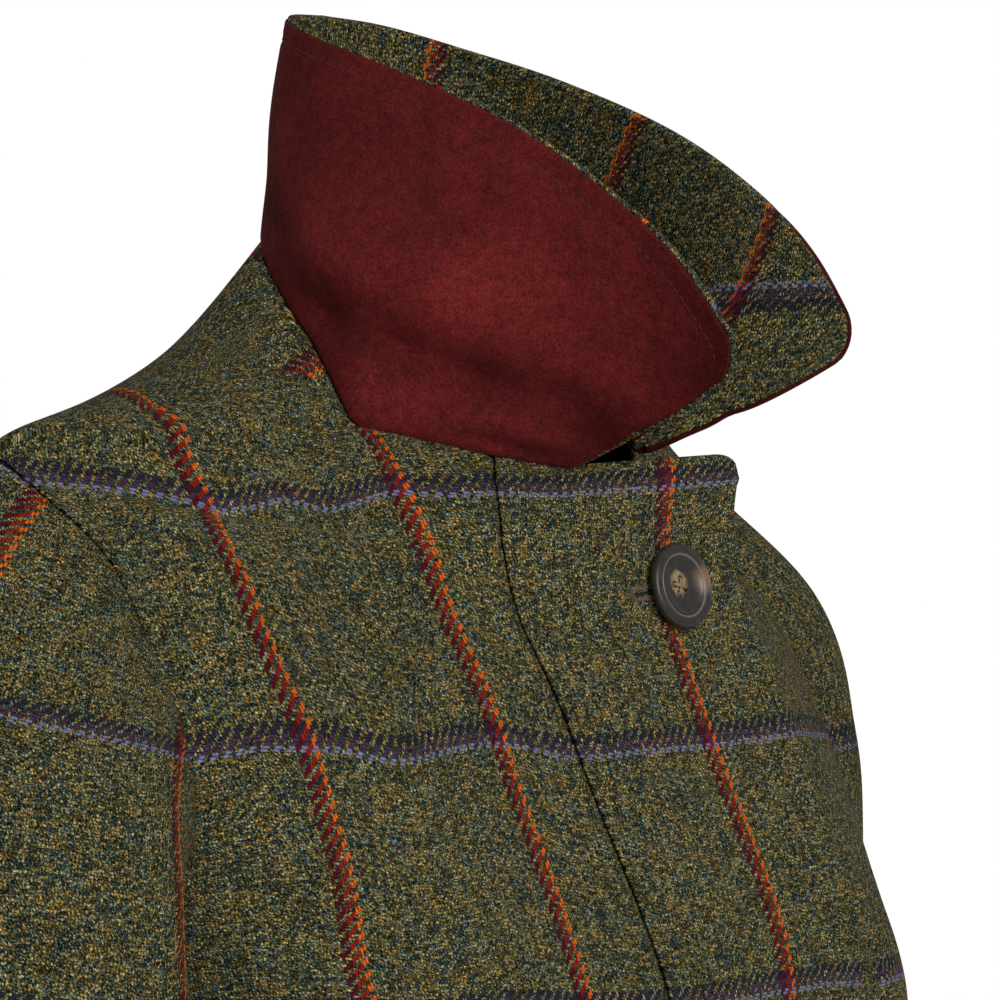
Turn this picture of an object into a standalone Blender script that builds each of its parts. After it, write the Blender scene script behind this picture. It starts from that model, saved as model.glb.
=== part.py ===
"""Tailored tweed jacket, worn shape with no wearer, collar turned up.

Lengths are in millimetres and become metres as each piece is made.
+X is the wearer's left, -Y is the front, +Z is up.
The origin lies inside the base of the neck, where the garment is carried.
"""
import math

import bmesh
import bpy
import numpy as np
from mathutils import Matrix, Vector

MM = 0.001

# Cloth and making
WALL = 2.2               # tweed with its turned edges
COLLAR_WALL = 1.7        # each of the two collar layers
SEAM = 0.3               # gap left where two pieces are sewn
FOLD_OVER = 1.3          # upper collar reaches past the under collar round its edge
COLLAR_RISE = 0.5        # height of the collar's lower edge above the neckline

# Front closure
LAP = 37.0               # each front reaches this far past the centre
LAP_START = 25.0         # half spacing of the collar ends, where the lap leaves the body
LAP_SOFT = 8.0           # length over which the lap turns flat
LAP_UNDER = 3.4          # the left front lies at least this far behind the face of the right one
LAP_EASE = 2.0           # softness of the line where the left front is pressed back
CORNER_RADIUS = 7.0      # top corner of each front

# Buttons: turned profile, out and up from the seat, from the middle of the face down.
BUTTON_PROFILE = (
    (0.0, 2.7),
    (8.6, 2.9),       # floor of the dish
    (10.4, 3.9),
    (12.2, 4.5),      # rim
    (13.6, 3.6),
    (14.0, 2.2),
    (12.6, 0.5),
    (10.6, 0.0),      # seat
    (0.0, 0.0),
)
BUTTON_RADIUS = max(out for out, up in BUTTON_PROFILE)
BUTTON_COUNT = 4
BUTTON_OUT = -2.0         # button line from the centre front, past it
BUTTON_TOP_Z = -101.0
BUTTON_STEP = 145.0
HOLE_RADIUS = 1.15
HOLE_OFFSET = 2.1         # hole from the button's axis, each way

# Rings of the body from hem to neckline.
# Columns: centre front forward, up; front side out, forward, up; side out, forward, up;
# back side out, forward, up; centre back forward, up.
CF_F, CF_Z, FS_X, FS_F, FS_Z, SD_X, SD_F, SD_Z, BS_X, BS_F, BS_Z, CB_F, CB_Z = range(13)
RINGS = (
    (128, -665, 164, 100, -665, 222, 0, -662, 164, -108, -658, -138, -656),    # hem
    (122, -560, 156, 98, -560, 210, 0, -556, 156, -104, -552, -132, -550),     # hip
    (106, -392, 124, 80, -390, 164, -2, -388, 124, -72, -386, -86, -384),      # waist
    (134, -275, 144, 92, -272, 180, 2, -270, 140, -88, -268, -106, -266),      # under bust
    (135, -214, 151, 92, -208, 190, 4, -206, 148, -98, -204, -120, -202),      # bust
    (110, -150, 154, 68, -138, 196, 4, -146, 152, -100, -146, -128, -144),     # chest
    (95, -108, 142, 33, -92, 200, -8, -90, 152, -80, -104, -120, -100),        # across the arms
    (87, -84, 116, 28, -71, 197, -13, -46, 146, -44, -47, -98, -54),           # shoulder tips
    (81, -70, 86, 30, -55, 134, 3, -43, 98, -31, -26, -68, -20),               # mid shoulder
    (77, -62.5, 62, 36, -49, 74, 18, -37, 52, -24, 2, -44, 16),                  # neckline
)
NECK = len(RINGS) - 1.0
TIP = 7.0
PIT = 4.15

# Values that change from ring to ring, hem first.
LAP_SLOPE = (0.04, 0.04, 0.06, 0.17, 0.26, 0.28, 0.22, 0.32, 0.48, 0.56)   # lap forward per mm
PRINCESS_OUT = (72, 66, 50, 56, 57, 60, 60, 56, 50, 44)                    # seam from the centre

# Broad swells and hollows of the fronts.
# Columns: out to the wearer's right, ring, spread across, spread in rings, forward.
SWELLS = (
    (-82, 2.95, 58, 1.0, 23),    # left bust
    (85, 6.2, 40, 1.1, -11),     # hollow below the right collar bone
    (80, 4.4, 45, 1.0, -9),      # flat of the right chest
)

# The left shoulder is set back: by how much, where that begins, and over what width and rings.
SET_BACK = 14.0
SET_BACK_FROM = 50.0
SET_BACK_SPAN = 120.0
SET_BACK_RING = 4.5
SET_BACK_RINGS = 2.0

# Armhole: angle taken from the front and from the back panel at its widest.
ARM_FRONT = 30.0
ARM_BACK = 30.0
ARM_SKEW = 1.3           # above 1 the hole is widest nearer the shoulder tip
ARM_ROUND = 0.44         # smaller is rounder at the tip and the armpit
SHOULDER_BACK = 27.0     # angle by which the shoulder seam bows to the back
SHOULDER_SKEW = 1.6      # above 1 it bows most nearer the neck
SHOULDER_ROOM = 0.5      # share by which its gap is wider, because it runs aslant

# Sleeve rings below the armhole.
# Columns: out, forward, up of the centre; radius across; radius front to back; rise of the outer side.
SLEEVE = (
    (249, 20, -236, 52, 62, 6),     # upper arm
    (258, 21, -330, 49, 58, 3),     # above the elbow
    (266, 27, -420, 46, 53, 0),     # elbow
    (272, 46, -530, 42, 47, -3),    # forearm
    (276, 70, -628, 38, 42, -6),    # cuff
)
LEFT_SLEEVE_BACK = 22.0  # the left sleeve hangs this far behind the right one at the upper arm
LEFT_CUFF_BACK = 17.0    # and at the cuff
# Sleeve head, the right one's value and the left one's.
CAP_PULL = (0.9, 1.1)    # how far it keeps its first direction
HEAD_FALL = (0.42, 0.62) # fall of that direction over the shoulder tip
UNDER_FALL = 0.25        # and under the arm
HEAD_SWELL = (0.55, 1.3) # and how far it opens to the front and the back
HEAD_GAP = 0.9           # more room at the seam over the tip, where the two walls turn sharply
UNDER_FRONT = 7          # armhole steps, counted from the tip, that bound the under sleeve
UNDER_BACK = 12

# Collar from its rounded end to the centre back, right half.
# Columns: neckline angle below; out, forward, up of the outer edge; bow of the leaf.
COLLAR = (
    (14.9, 45, 141, -22, 0.0),     # end of the leaf
    (21, 49, 121, 7, 1.5),
    (34, 52, 97, 28, 3.0),
    (52, 53, 66, 47, 4.0),
    (76, 52, 24, 64, 4.0),         # side of the neck
    (106, 44, -13, 76, 3.0),
    (142, 27, -32, 83, 2.0),
    (180, 0, -38, 85, 2.0),        # centre back
)
COLLAR_END_SPAN = 0.34    # rows of the table over which the end is rounded
COLLAR_END_TRIM = 0.14    # share of the leaf's depth that the rounding takes off
COLLAR_BELLY = 3.0        # swell of the front edge of the leaf
BELLY_SPAN = 1.6          # rows of the table that the swell fades over

# Mesh density
ARM_STEPS = 9
BODY_ROWS = np.concatenate((
    np.linspace(0.0, PIT, 8)[:-1],
    np.linspace(PIT, TIP, ARM_STEPS + 1)[:-1],
    np.linspace(TIP, NECK, 7),
))
ARM_ROWS = np.linspace(PIT, TIP, ARM_STEPS + 1)
SIDE_PULL = 1.0 + SHOULDER_ROOM * np.clip(BODY_ROWS - TIP, 0.0, 1.0)
LAP_COLUMNS = (-37.0, -34.5, -30.0, -16.0, 16.0, 25.0)
NECK_COLUMNS = (25.0, 31.0, 37.0, 44.0)
SIDE_COLUMNS = 5
BACK_COLUMNS = 6
COLLAR_END_ROWS = (0.0, 0.06, 0.16, 0.34, 0.62)
COLLAR_STEPS = 4
COLLAR_ROW_GAP = 0.1      # least distance from the rounded end to the next row
COLLAR_SAMPLES = 400      # rows read to find the row above a neckline angle
CAP_STEPS = 6
ARM_TUBE_STEPS = 6
BUTTON_SEGMENTS = 28
BUTTON_SHARP = 40.0       # edges of a button sharper than this stay crisp
BUTTON_MERGE = 1e-5       # metres within which the turned ends join
HOLE_SEGMENTS = 10
DRILL_LENGTH = 12.0
SEAT_RAYS = 12            # rays cast to the cloth round each button
SEAT_REACH = 0.03         # metres from the seat to where the rays start
NUDGE = 1e-3              # small step along a surface, to find its directions
HALVINGS = 50             # times a bracket is halved to find where a surface meets a value
FRONT_LIMIT = 80.0        # angle that bounds the search across the front
SWELL_FADE = 0.5          # cosine of the angle at which the swells begin to fade out


def ease(t):
    t = np.clip(t, 0.0, 1.0)
    return t * t * (3.0 - 2.0 * t)


def unit(vectors):
    return vectors / np.linalg.norm(vectors, axis=-1, keepdims=True)


def table_curve(table, row):
    """Smooth curve through the rows of a table, read at row numbers."""
    table = np.asarray(table, dtype=float)
    last = len(table) - 1
    row = np.asarray(row, dtype=float)
    k = np.clip(np.floor(row).astype(int), 0, last - 1)
    t = (row - k)[..., None]
    before = table[np.maximum(k - 1, 0)]
    start = table[k]
    end = table[k + 1]
    after = table[np.minimum(k + 2, last)]
    leave = np.where((k > 0)[..., None], (end - before) / 2.0, end - start)
    reach = np.where((k < last - 1)[..., None], (after - start) / 2.0, end - start)
    return hermite(start, leave, end, reach, t)


def hermite(start, leave, end, reach, t):
    return ((2 * t**3 - 3 * t**2 + 1) * start + (t**3 - 2 * t**2 + t) * leave
            + (3 * t**2 - 2 * t**3) * end + (t**3 - t**2) * reach)


def even_series(samples, angle):
    """Cosine series through samples at 0, 45, 90, 135 and 180 degrees."""
    step = np.arange(5)
    weight = np.where((step == 0) | (step == 4), 0.5, 1.0)
    total = 0.0
    for k in range(5):
        share = 0.5 if k in (0, 4) else 1.0
        a = 0.5 * np.sum(weight * samples * np.cos(np.pi * step * k / 4), axis=-1)
        total = total + share * a * np.cos(k * angle)
    return total


def odd_series(samples, angle):
    """Sine series through samples at 45, 90 and 135 degrees."""
    step = np.arange(1, 4)
    total = 0.0
    for k in (1, 2, 3):
        b = 0.5 * np.sum(samples * np.sin(np.pi * step * k / 4), axis=-1)
        total = total + b * np.sin(k * angle)
    return total


def body(angle, ring):
    """Outer face of the body; the angle runs from the centre front to the wearer's right."""
    angle, ring = np.broadcast_arrays(np.asarray(angle, float), np.asarray(ring, float))
    size = table_curve(RINGS, ring)
    forward = even_series(size[..., (CF_F, FS_F, SD_F, BS_F, CB_F)], angle)
    up = even_series(size[..., (CF_Z, FS_Z, SD_Z, BS_Z, CB_Z)], angle)
    out = odd_series(size[..., (FS_X, SD_X, BS_X)], angle)
    front = ease(np.cos(angle) / SWELL_FADE)
    for at_out, at_ring, wide, tall, lift in SWELLS:
        reach = ((out - at_out) / wide) ** 2 + ((ring - at_ring) / tall) ** 2
        forward = forward + front * lift * np.exp(-reach)
    left = ease((-out - SET_BACK_FROM) / SET_BACK_SPAN) * ease((ring - SET_BACK_RING) / SET_BACK_RINGS)
    forward = forward - SET_BACK * left
    return np.stack((-out, -forward, up), axis=-1)


def angle_at(out, ring):
    """Angle at which the body is this far out, the wearer's right being positive."""
    out, ring = np.broadcast_arrays(np.asarray(out, float), np.asarray(ring, float))
    low = np.full(out.shape, -math.radians(FRONT_LIMIT))
    high = np.full(out.shape, math.radians(FRONT_LIMIT))
    for _ in range(HALVINGS):
        middle = (low + high) / 2.0
        short = -body(middle, ring)[..., 0] < out
        low = np.where(short, middle, low)
        high = np.where(short, high, middle)
    return (low + high) / 2.0


def per_ring(values, ring):
    return np.interp(ring, np.arange(len(values)), values)


def right_front(out, ring):
    """The body, carried on flat and forward where it laps past the centre."""
    out, ring = np.broadcast_arrays(np.asarray(out, float), np.asarray(ring, float))
    kept = np.maximum(out, LAP_START)
    past = kept - out
    point = body(angle_at(kept, ring), ring)
    point[..., 0] += past
    point[..., 1] -= per_ring(LAP_SLOPE, ring) * past * past / (past + LAP_SOFT)
    return point


def left_front(out, ring):
    """The body, pressed back to clear the inside of the right front that laps over it."""
    out, ring = np.broadcast_arrays(np.asarray(out, float), np.asarray(ring, float))
    point = body(angle_at(out, ring), ring)
    room = point[..., 1] - right_front(out, ring)[..., 1] - LAP_UNDER
    point[..., 1] += 0.5 * (np.hypot(room, LAP_EASE) - room)
    return point


def facing(surface, across, along):
    """Outward unit normal of a surface whose first value runs to the wearer's right."""
    right = surface(across + NUDGE, along) - surface(across - NUDGE, along)
    top = np.minimum(along + NUDGE, NECK)
    up = surface(across, top) - surface(across, top - 2 * NUDGE)
    return unit(np.cross(up, right))


def side_angle(ring, reach):
    """Angle of the side seam, the armhole edge and the shoulder seam in turn."""
    share = np.clip((ring - PIT) / (TIP - PIT), 0.0, 1.0)
    over = np.clip((ring - TIP) / (NECK - TIP), 0.0, 1.0)
    bow = reach * np.sin(np.pi * share**ARM_SKEW) ** ARM_ROUND + SHOULDER_BACK * np.sin(np.pi * over**SHOULDER_SKEW)
    return np.radians(90.0 + bow)


def seam_angle(angle, ring, pull):
    """Moves an angle along the cloth by half a seam gap."""
    run = body(angle + NUDGE, ring) - body(angle - NUDGE, ring)
    return angle + pull * SEAM * NUDGE / np.linalg.norm(run, axis=-1)


def material(name, colour, roughness):
    mat = bpy.data.materials.new(name)
    mat.use_nodes = True
    shader = mat.node_tree.nodes["Principled BSDF"]
    shader.inputs["Base Color"].default_value = (*colour, 1.0)
    shader.inputs["Roughness"].default_value = roughness
    shader.inputs["Metallic"].default_value = 0.0
    return mat


def add_part(name, mesh, mat):
    mesh.shade_smooth()
    part = bpy.data.objects.new(name, mesh)
    part.data.materials.append(mat)
    PARTS.objects.link(part)
    return part


def cloth(name, outer, inner, mat):
    """A grid sheet laid on its outer points and extruded to its inner points."""
    rows, columns = outer.shape[:2]
    bm = bmesh.new()
    bmesh.ops.create_grid(bm, x_segments=columns - 1, y_segments=rows - 1, size=1.0)
    place = bm.verts.layers.int.new("place")
    for vert in bm.verts:
        column = round((vert.co.x + 1.0) / 2.0 * (columns - 1))
        row = round((vert.co.y + 1.0) / 2.0 * (rows - 1))
        vert[place] = row * columns + column
    outside = outer.reshape(-1, 3) * MM
    inside = inner.reshape(-1, 3) * MM
    for vert in bm.verts:
        vert.co = outside[vert[place]]
    drawn = bmesh.ops.extrude_face_region(bm, geom=bm.faces[:], use_keep_orig=True)
    for item in drawn["geom"]:
        if isinstance(item, bmesh.types.BMVert):
            item.co = inside[item[place]]
    bmesh.ops.recalc_face_normals(bm, faces=bm.faces[:])
    mesh = bpy.data.meshes.new(name)
    bm.to_mesh(mesh)
    bm.free()
    return add_part(name, mesh, mat)


def body_panel(name, surface, across, rings):
    """One panel of the body, from the values that its surface takes."""
    outer = surface(across, rings)
    return cloth(name, outer, outer - WALL * facing(surface, across, rings), TWEED)


def corner_drop(from_edge):
    """How far a rounded top corner falls at a distance from the front edge."""
    gap = np.clip(CORNER_RADIUS - from_edge, 0.0, CORNER_RADIUS)
    return CORNER_RADIUS - np.sqrt(CORNER_RADIUS**2 - gap**2)


def centre_panel(name, surface, side):
    """Front between its edge and the princess seam; side is 1 for the right front."""
    columns = np.array(LAP_COLUMNS + NECK_COLUMNS[1:])
    share = (columns + LAP) / (PRINCESS_OUT[-1] + LAP)
    rings = np.repeat(BODY_ROWS[:, None], len(share), axis=1)
    seam = per_ring(PRINCESS_OUT, rings) - 0.5 * SEAM
    out = -LAP + share * (seam + LAP)
    ring_height = np.linalg.norm(surface(0.0, NECK) - surface(0.0, NECK - 1.0))
    top = NECK - corner_drop(columns + LAP) / ring_height
    rings = np.minimum(rings, top)
    return body_panel(name, surface, side * out, rings)


def side_panel(name, side):
    """Front between the princess seam and the side seam, armhole and shoulder seam."""
    share = np.linspace(0.0, 1.0, SIDE_COLUMNS + 1)
    rings = np.repeat(BODY_ROWS[:, None], len(share), axis=1)
    start = np.abs(angle_at(side * (per_ring(PRINCESS_OUT, BODY_ROWS) + 0.5 * SEAM), BODY_ROWS))
    stop = seam_angle(side_angle(BODY_ROWS, -ARM_FRONT), BODY_ROWS, -SIDE_PULL)
    angle = start[:, None] + share * (stop - start)[:, None]
    body_panel(name, body, side * angle, rings)


def back_panel(name, side):
    """Half of the back, from the side seam to the centre back seam."""
    share = np.linspace(0.0, 1.0, BACK_COLUMNS + 1)
    rings = np.repeat(BODY_ROWS[:, None], len(share), axis=1)
    start = seam_angle(side_angle(BODY_ROWS, ARM_BACK), BODY_ROWS, SIDE_PULL)
    stop = seam_angle(np.full(len(BODY_ROWS), math.pi), BODY_ROWS, -1.0)
    angle = start[:, None] + share * (stop - start)[:, None]
    body_panel(name, body, side * angle, rings)


def armhole(side):
    """Closed loop of armhole points, tip first and down the front, the way into the hole and out of it."""
    down_front = ARM_ROWS[::-1]
    up_back = ARM_ROWS[1:-1]
    ring = np.concatenate((down_front, up_back))
    angle = np.concatenate((side_angle(down_front, -ARM_FRONT), side_angle(up_back, ARM_BACK)))
    point = body(side * angle, ring)
    out = facing(body, side * angle, ring)
    run = unit(np.roll(point, -1, axis=0) - point) + unit(point - np.roll(point, 1, axis=0))
    into = unit(np.cross(run, out))
    centre = np.mean(point, axis=0)
    into = into * np.sign(np.sum(into * (centre - point), axis=-1, keepdims=True))
    mitre = 2.0 / np.linalg.norm(run, axis=-1, keepdims=True)
    return point, into * mitre, out


def sleeve_sections(side):
    """Sections of the sleeve from the armhole to the cuff, and their outward directions."""
    edge, into, seam_out = armhole(side)
    steps = np.linalg.norm(np.roll(edge, -1, axis=0) - edge, axis=-1)
    walked = np.concatenate(((0.0,), np.cumsum(steps)[:-1]))
    half = walked[ARM_STEPS]
    turn = np.where(walked <= half, walked / half, 1.0 + (walked - half) / (steps.sum() - half))
    turn = np.pi * turn
    start = edge + (SEAM + HEAD_GAP * np.clip(np.cos(turn), 0.0, 1.0) ** 2)[:, None] * into
    set_back = (LEFT_SLEEVE_BACK, LEFT_CUFF_BACK) if side < 0 else (0.0, 0.0)
    pull, top_fall, swell = (pair[1 if side < 0 else 0] for pair in (CAP_PULL, HEAD_FALL, HEAD_SWELL))

    def tube(row):
        out, forward, up, across, deep, rise = table_curve(SLEEVE, np.full(len(turn), row)).T
        x = -side * (out + across * np.cos(turn))
        behind = np.interp(row, (0.0, len(SLEEVE) - 1.0), set_back)
        y = -(forward - behind + deep * np.sin(turn))
        return np.stack((x, y, up + rise * np.cos(turn)), axis=-1)

    head = tube(0.0)
    span = np.linalg.norm(head - start, axis=-1, keepdims=True)
    fall = np.where(np.cos(turn) > 0.0, top_fall, -UNDER_FALL) * np.cos(turn)
    leave = np.stack((np.full(len(turn), -side), -swell * np.sin(turn), -fall), axis=-1)
    leave = unit(leave) * span * pull
    reach = unit(tube(NUDGE) - head) * span * pull
    sections = [hermite(start, leave, head, reach, t) for t in np.linspace(0.0, 1.0, CAP_STEPS + 1)]
    rows = np.linspace(0.0, len(SLEEVE) - 1.0, ARM_TUBE_STEPS + 1)[1:]
    sections = np.array(sections + [tube(row) for row in rows])
    around = np.roll(sections, -1, axis=1) - np.roll(sections, 1, axis=1)
    along = np.gradient(sections, axis=0)
    out = unit(np.cross(along, around)) * side
    level = ease(2.0 * np.cos(turn))[:, None]
    out[0] = unit(level * seam_out + (1.0 - level) * out[0])
    return sections, out


def sleeve_piece(name, sections, out, columns):
    """Part of the sleeve between two seams, each edge drawn in by half a seam gap."""
    outer = sections[:, columns].copy()
    facing_out = out[:, columns]
    outer[:, 0] += unit(outer[:, 1] - outer[:, 0]) * 0.5 * SEAM
    outer[:, -1] += unit(outer[:, -2] - outer[:, -1]) * 0.5 * SEAM
    cloth(name, outer, outer - WALL * facing_out, TWEED)


def sleeves(side, word):
    sections, out = sleeve_sections(side)
    count = sections.shape[1]
    under = np.arange(UNDER_FRONT, UNDER_BACK + 1)
    top = np.arange(UNDER_BACK, UNDER_FRONT + count + 1) % count
    sleeve_piece("sleeve_" + word + "_top", sections, out, top)
    sleeve_piece("sleeve_" + word + "_under", sections, out, under)


def neckline_angles():
    """Angles of the panel columns along the right half of the neckline."""
    front = angle_at(np.array(NECK_COLUMNS), NECK)
    side = np.linspace(front[-1], math.pi / 2, SIDE_COLUMNS + 1)[1:]
    back = np.linspace(math.pi / 2, math.pi, BACK_COLUMNS + 1)[1:]
    return np.concatenate((front, side, back))


def collar_leaf(row, depth, side):
    """Middle of the collar: row of the table, and depth from neckline to outer edge."""
    row, depth = np.broadcast_arrays(np.asarray(row, float), np.asarray(depth, float))
    angle, out, forward, up, bow = np.moveaxis(table_curve(COLLAR, row), -1, 0)
    known = neckline_angles()
    seam = body(side * known, NECK)
    base = np.stack([np.interp(np.radians(angle), known, seam[:, k]) for k in range(3)], axis=-1)
    edge = np.stack((-side * out, -forward, up), axis=-1)
    away = np.stack((-side * np.sin(np.radians(angle)), -np.cos(np.radians(angle)), 0 * angle), -1)
    span = np.linalg.norm(edge - base, axis=-1, keepdims=True)
    depth = COLLAR_RISE / span + (1.0 - COLLAR_RISE / span) * depth[..., None]
    hump = 4.0 * depth * (1.0 - depth)
    fade = np.clip(1.0 - row / BELLY_SPAN, 0.0, 1.0)[..., None] ** 2
    tip, next_row = np.array(COLLAR[0][1:4]), np.array(COLLAR[1][1:4])
    ahead = unit(tip - next_row) * np.array((-side, -1.0, 1.0))
    return base + (edge - base) * depth + hump * (away * bow[..., None] + COLLAR_BELLY * fade * ahead)


def leaf_trim(row):
    """Depth kept by the rounded end of the leaf."""
    left = np.clip(1.0 - row / COLLAR_END_SPAN, 0.0, 1.0)
    return 1.0 - COLLAR_END_TRIM * (1.0 - np.sqrt(1.0 - left**2))


def collar_layer(name, outside, inside, drawn_in, mat):
    """One layer of the collar between two offsets from its middle, its edge drawn in."""
    known = np.degrees(neckline_angles())
    fine = np.linspace(0.0, len(COLLAR) - 1.0, COLLAR_SAMPLES)
    rows = np.interp(known, table_curve(COLLAR, fine)[:, 0], fine)
    rows = np.concatenate((COLLAR_END_ROWS, rows[rows > COLLAR_END_ROWS[-1] + COLLAR_ROW_GAP]))
    rows[-1] = len(COLLAR) - 1.0
    depth = np.linspace(0.0, 1.0, COLLAR_STEPS + 1)[:, None] * leaf_trim(rows)
    halves = []
    for side in (1.0, -1.0):
        middle = collar_leaf(rows, depth, side)
        ahead = collar_leaf(np.minimum(rows + NUDGE, rows[-1]), depth, side)
        behind = collar_leaf(np.maximum(rows - NUDGE, 0.0), depth, side)
        rise = collar_leaf(rows, depth + NUDGE, side) - collar_leaf(rows, depth - NUDGE, side)
        out = unit(np.cross(ahead - behind, rise)) * -side
        inward = middle.copy()
        inward[:, 0] += unit(middle[:, 1] - middle[:, 0]) * drawn_in
        inward[-1] += unit(middle[-2] - middle[-1]) * drawn_in
        halves.append((inward, out))
    middle = np.concatenate((halves[0][0], halves[1][0][:, -2::-1]), axis=1)
    out = np.concatenate((halves[0][1], halves[1][1][:, -2::-1]), axis=1)
    centre = len(rows) - 1
    out[:, centre] = np.array((0.0, 1.0, 0.0)) * np.linalg.norm(out[:, centre, 1:], axis=-1)[:, None]
    cloth(name, middle + outside * out, middle + inside * out, mat)


def button_mesh():
    """The button once, turned about its own axis, with its four sewing holes cut."""
    outline = bpy.data.meshes.new("button_outline")
    points = [(r * MM, 0.0, z * MM) for r, z in BUTTON_PROFILE]
    outline.from_pydata(points, [(k, k + 1) for k in range(len(points) - 1)], [])
    turned = bpy.data.objects.new("button_turned", outline)
    CUTTERS.objects.link(turned)
    screw = turned.modifiers.new("turn", "SCREW")
    screw.steps = BUTTON_SEGMENTS
    screw.render_steps = BUTTON_SEGMENTS
    screw.use_merge_vertices = True
    screw.merge_threshold = BUTTON_MERGE
    screw.use_normal_calculate = True
    for x in (-HOLE_OFFSET, HOLE_OFFSET):
        for y in (-HOLE_OFFSET, HOLE_OFFSET):
            bm = bmesh.new()
            bmesh.ops.create_cone(bm, cap_ends=True, segments=HOLE_SEGMENTS, radius1=HOLE_RADIUS * MM,
                                  radius2=HOLE_RADIUS * MM, depth=DRILL_LENGTH * MM)
            bmesh.ops.translate(bm, verts=bm.verts, vec=Vector((x, y, 0.0)) * MM)
            drill_mesh = bpy.data.meshes.new("drill")
            bm.to_mesh(drill_mesh)
            bm.free()
            drill = bpy.data.objects.new("drill", drill_mesh)
            drill.hide_render = True
            drill.display_type = "WIRE"
            CUTTERS.objects.link(drill)
            cut = turned.modifiers.new("hole", "BOOLEAN")
            cut.object = drill
    bpy.context.view_layer.update()
    graph = bpy.context.evaluated_depsgraph_get()
    mesh = bpy.data.meshes.new_from_object(turned.evaluated_get(graph))
    bpy.data.objects.remove(turned)
    return mesh


def ring_at_height(out, up):
    """Ring at which the right front reaches a height."""
    low, high = 0.0, NECK
    for _ in range(HALVINGS):
        middle = (low + high) / 2.0
        if right_front(out, middle)[2] < up:
            low = middle
        else:
            high = middle
    return (low + high) / 2.0


def seat_height(panel, seat, turn):
    """How far the panel's highest point under a button stands above the button's seat."""
    heights = []
    for radius in (0.0, 0.5 * BUTTON_RADIUS, BUTTON_RADIUS):
        for step in range(SEAT_RAYS):
            angle = 2.0 * math.pi * step / SEAT_RAYS
            side = turn @ Vector((math.cos(angle), math.sin(angle), 0.0))
            start = seat + side * radius * MM + turn @ Vector((0.0, 0.0, SEAT_REACH))
            hit, place, _, _ = panel.ray_cast(start, turn @ Vector((0.0, 0.0, -1.0)))
            if hit:
                heights.append((turn.inverted() @ (place - seat)).z)
    return max(heights)


def buttons(panel):
    """Buttons down the centre front, each resting on the right front and facing out from it."""
    mesh = button_mesh()
    bpy.context.view_layer.update()
    for number in range(BUTTON_COUNT):
        ring = ring_at_height(BUTTON_OUT, BUTTON_TOP_Z - number * BUTTON_STEP)
        seat = Vector(right_front(np.array(BUTTON_OUT), np.array(ring))) * MM
        out = Vector(facing(right_front, np.array(BUTTON_OUT), np.array(ring)))
        turn = out.to_track_quat("Z", "Y").to_matrix()
        height = seat_height(panel, seat, turn) + SEAM * MM
        part = add_part("button_" + str(number + 1), mesh.copy(), HORN)
        part.matrix_world = Matrix.Translation(seat + out * height) @ turn.to_4x4()
        part.data.set_sharp_from_angle(angle=math.radians(BUTTON_SHARP))


for old in list(bpy.data.objects):
    bpy.data.objects.remove(old, do_unlink=True)

PARTS = bpy.data.collections.new("tweed_jacket")
CUTTERS = bpy.data.collections.new("cutters")
bpy.context.scene.collection.children.link(PARTS)
bpy.context.scene.collection.children.link(CUTTERS)

TWEED = material("tweed", (0.082, 0.074, 0.040), 0.95)
SUEDE = material("burgundy_suede", (0.105, 0.014, 0.016), 0.90)
HORN = material("horn", (0.030, 0.022, 0.017), 0.28)

lapping_front = centre_panel("front_right_centre", right_front, 1.0)
centre_panel("front_left_centre", left_front, -1.0)
for hand, word in ((1.0, "right"), (-1.0, "left")):
    side_panel("front_" + word + "_side", hand)
    back_panel("back_" + word, hand)
    sleeves(hand, word)
collar_layer("collar_under", 0.5 * SEAM + COLLAR_WALL, 0.5 * SEAM, FOLD_OVER, SUEDE)
collar_layer("collar_upper", -0.5 * SEAM, -0.5 * SEAM - COLLAR_WALL, 0.0, TWEED)
buttons(lapping_front)
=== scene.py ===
# %% [markdown]
# A tweed jacket, seen from the wearer's right front with its collar turned up.
# Blender loads the measured solids first. They stay as they are, and each cloth piece below is
# a thin shell laid on the same form, so that the looks and the sizes agree.

# %% Load the measured solids
import math

import bpy
import numpy as np
from mathutils import Matrix, Vector


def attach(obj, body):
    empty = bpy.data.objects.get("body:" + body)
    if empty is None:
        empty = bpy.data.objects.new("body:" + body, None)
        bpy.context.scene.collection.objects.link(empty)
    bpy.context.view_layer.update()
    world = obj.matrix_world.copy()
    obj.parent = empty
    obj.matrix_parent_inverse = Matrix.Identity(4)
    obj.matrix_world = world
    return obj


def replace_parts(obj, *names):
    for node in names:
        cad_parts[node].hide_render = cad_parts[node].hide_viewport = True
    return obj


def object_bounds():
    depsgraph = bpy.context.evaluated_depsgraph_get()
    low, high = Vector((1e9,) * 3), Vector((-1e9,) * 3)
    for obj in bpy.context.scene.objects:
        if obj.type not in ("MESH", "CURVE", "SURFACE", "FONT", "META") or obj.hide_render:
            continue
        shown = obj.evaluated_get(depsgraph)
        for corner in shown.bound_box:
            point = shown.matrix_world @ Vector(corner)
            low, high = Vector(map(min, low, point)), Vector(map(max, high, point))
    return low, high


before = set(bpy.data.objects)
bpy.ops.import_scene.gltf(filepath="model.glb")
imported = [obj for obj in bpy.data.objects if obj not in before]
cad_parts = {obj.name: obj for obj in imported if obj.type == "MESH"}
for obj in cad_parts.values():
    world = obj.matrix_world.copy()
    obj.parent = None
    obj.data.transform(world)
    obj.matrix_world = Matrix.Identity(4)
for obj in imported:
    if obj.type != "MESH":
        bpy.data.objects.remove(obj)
CAD_BOX = [list(corner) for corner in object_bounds()]
MM = 0.001
print("solids:", len(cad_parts), "box:", CAD_BOX)

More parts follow.
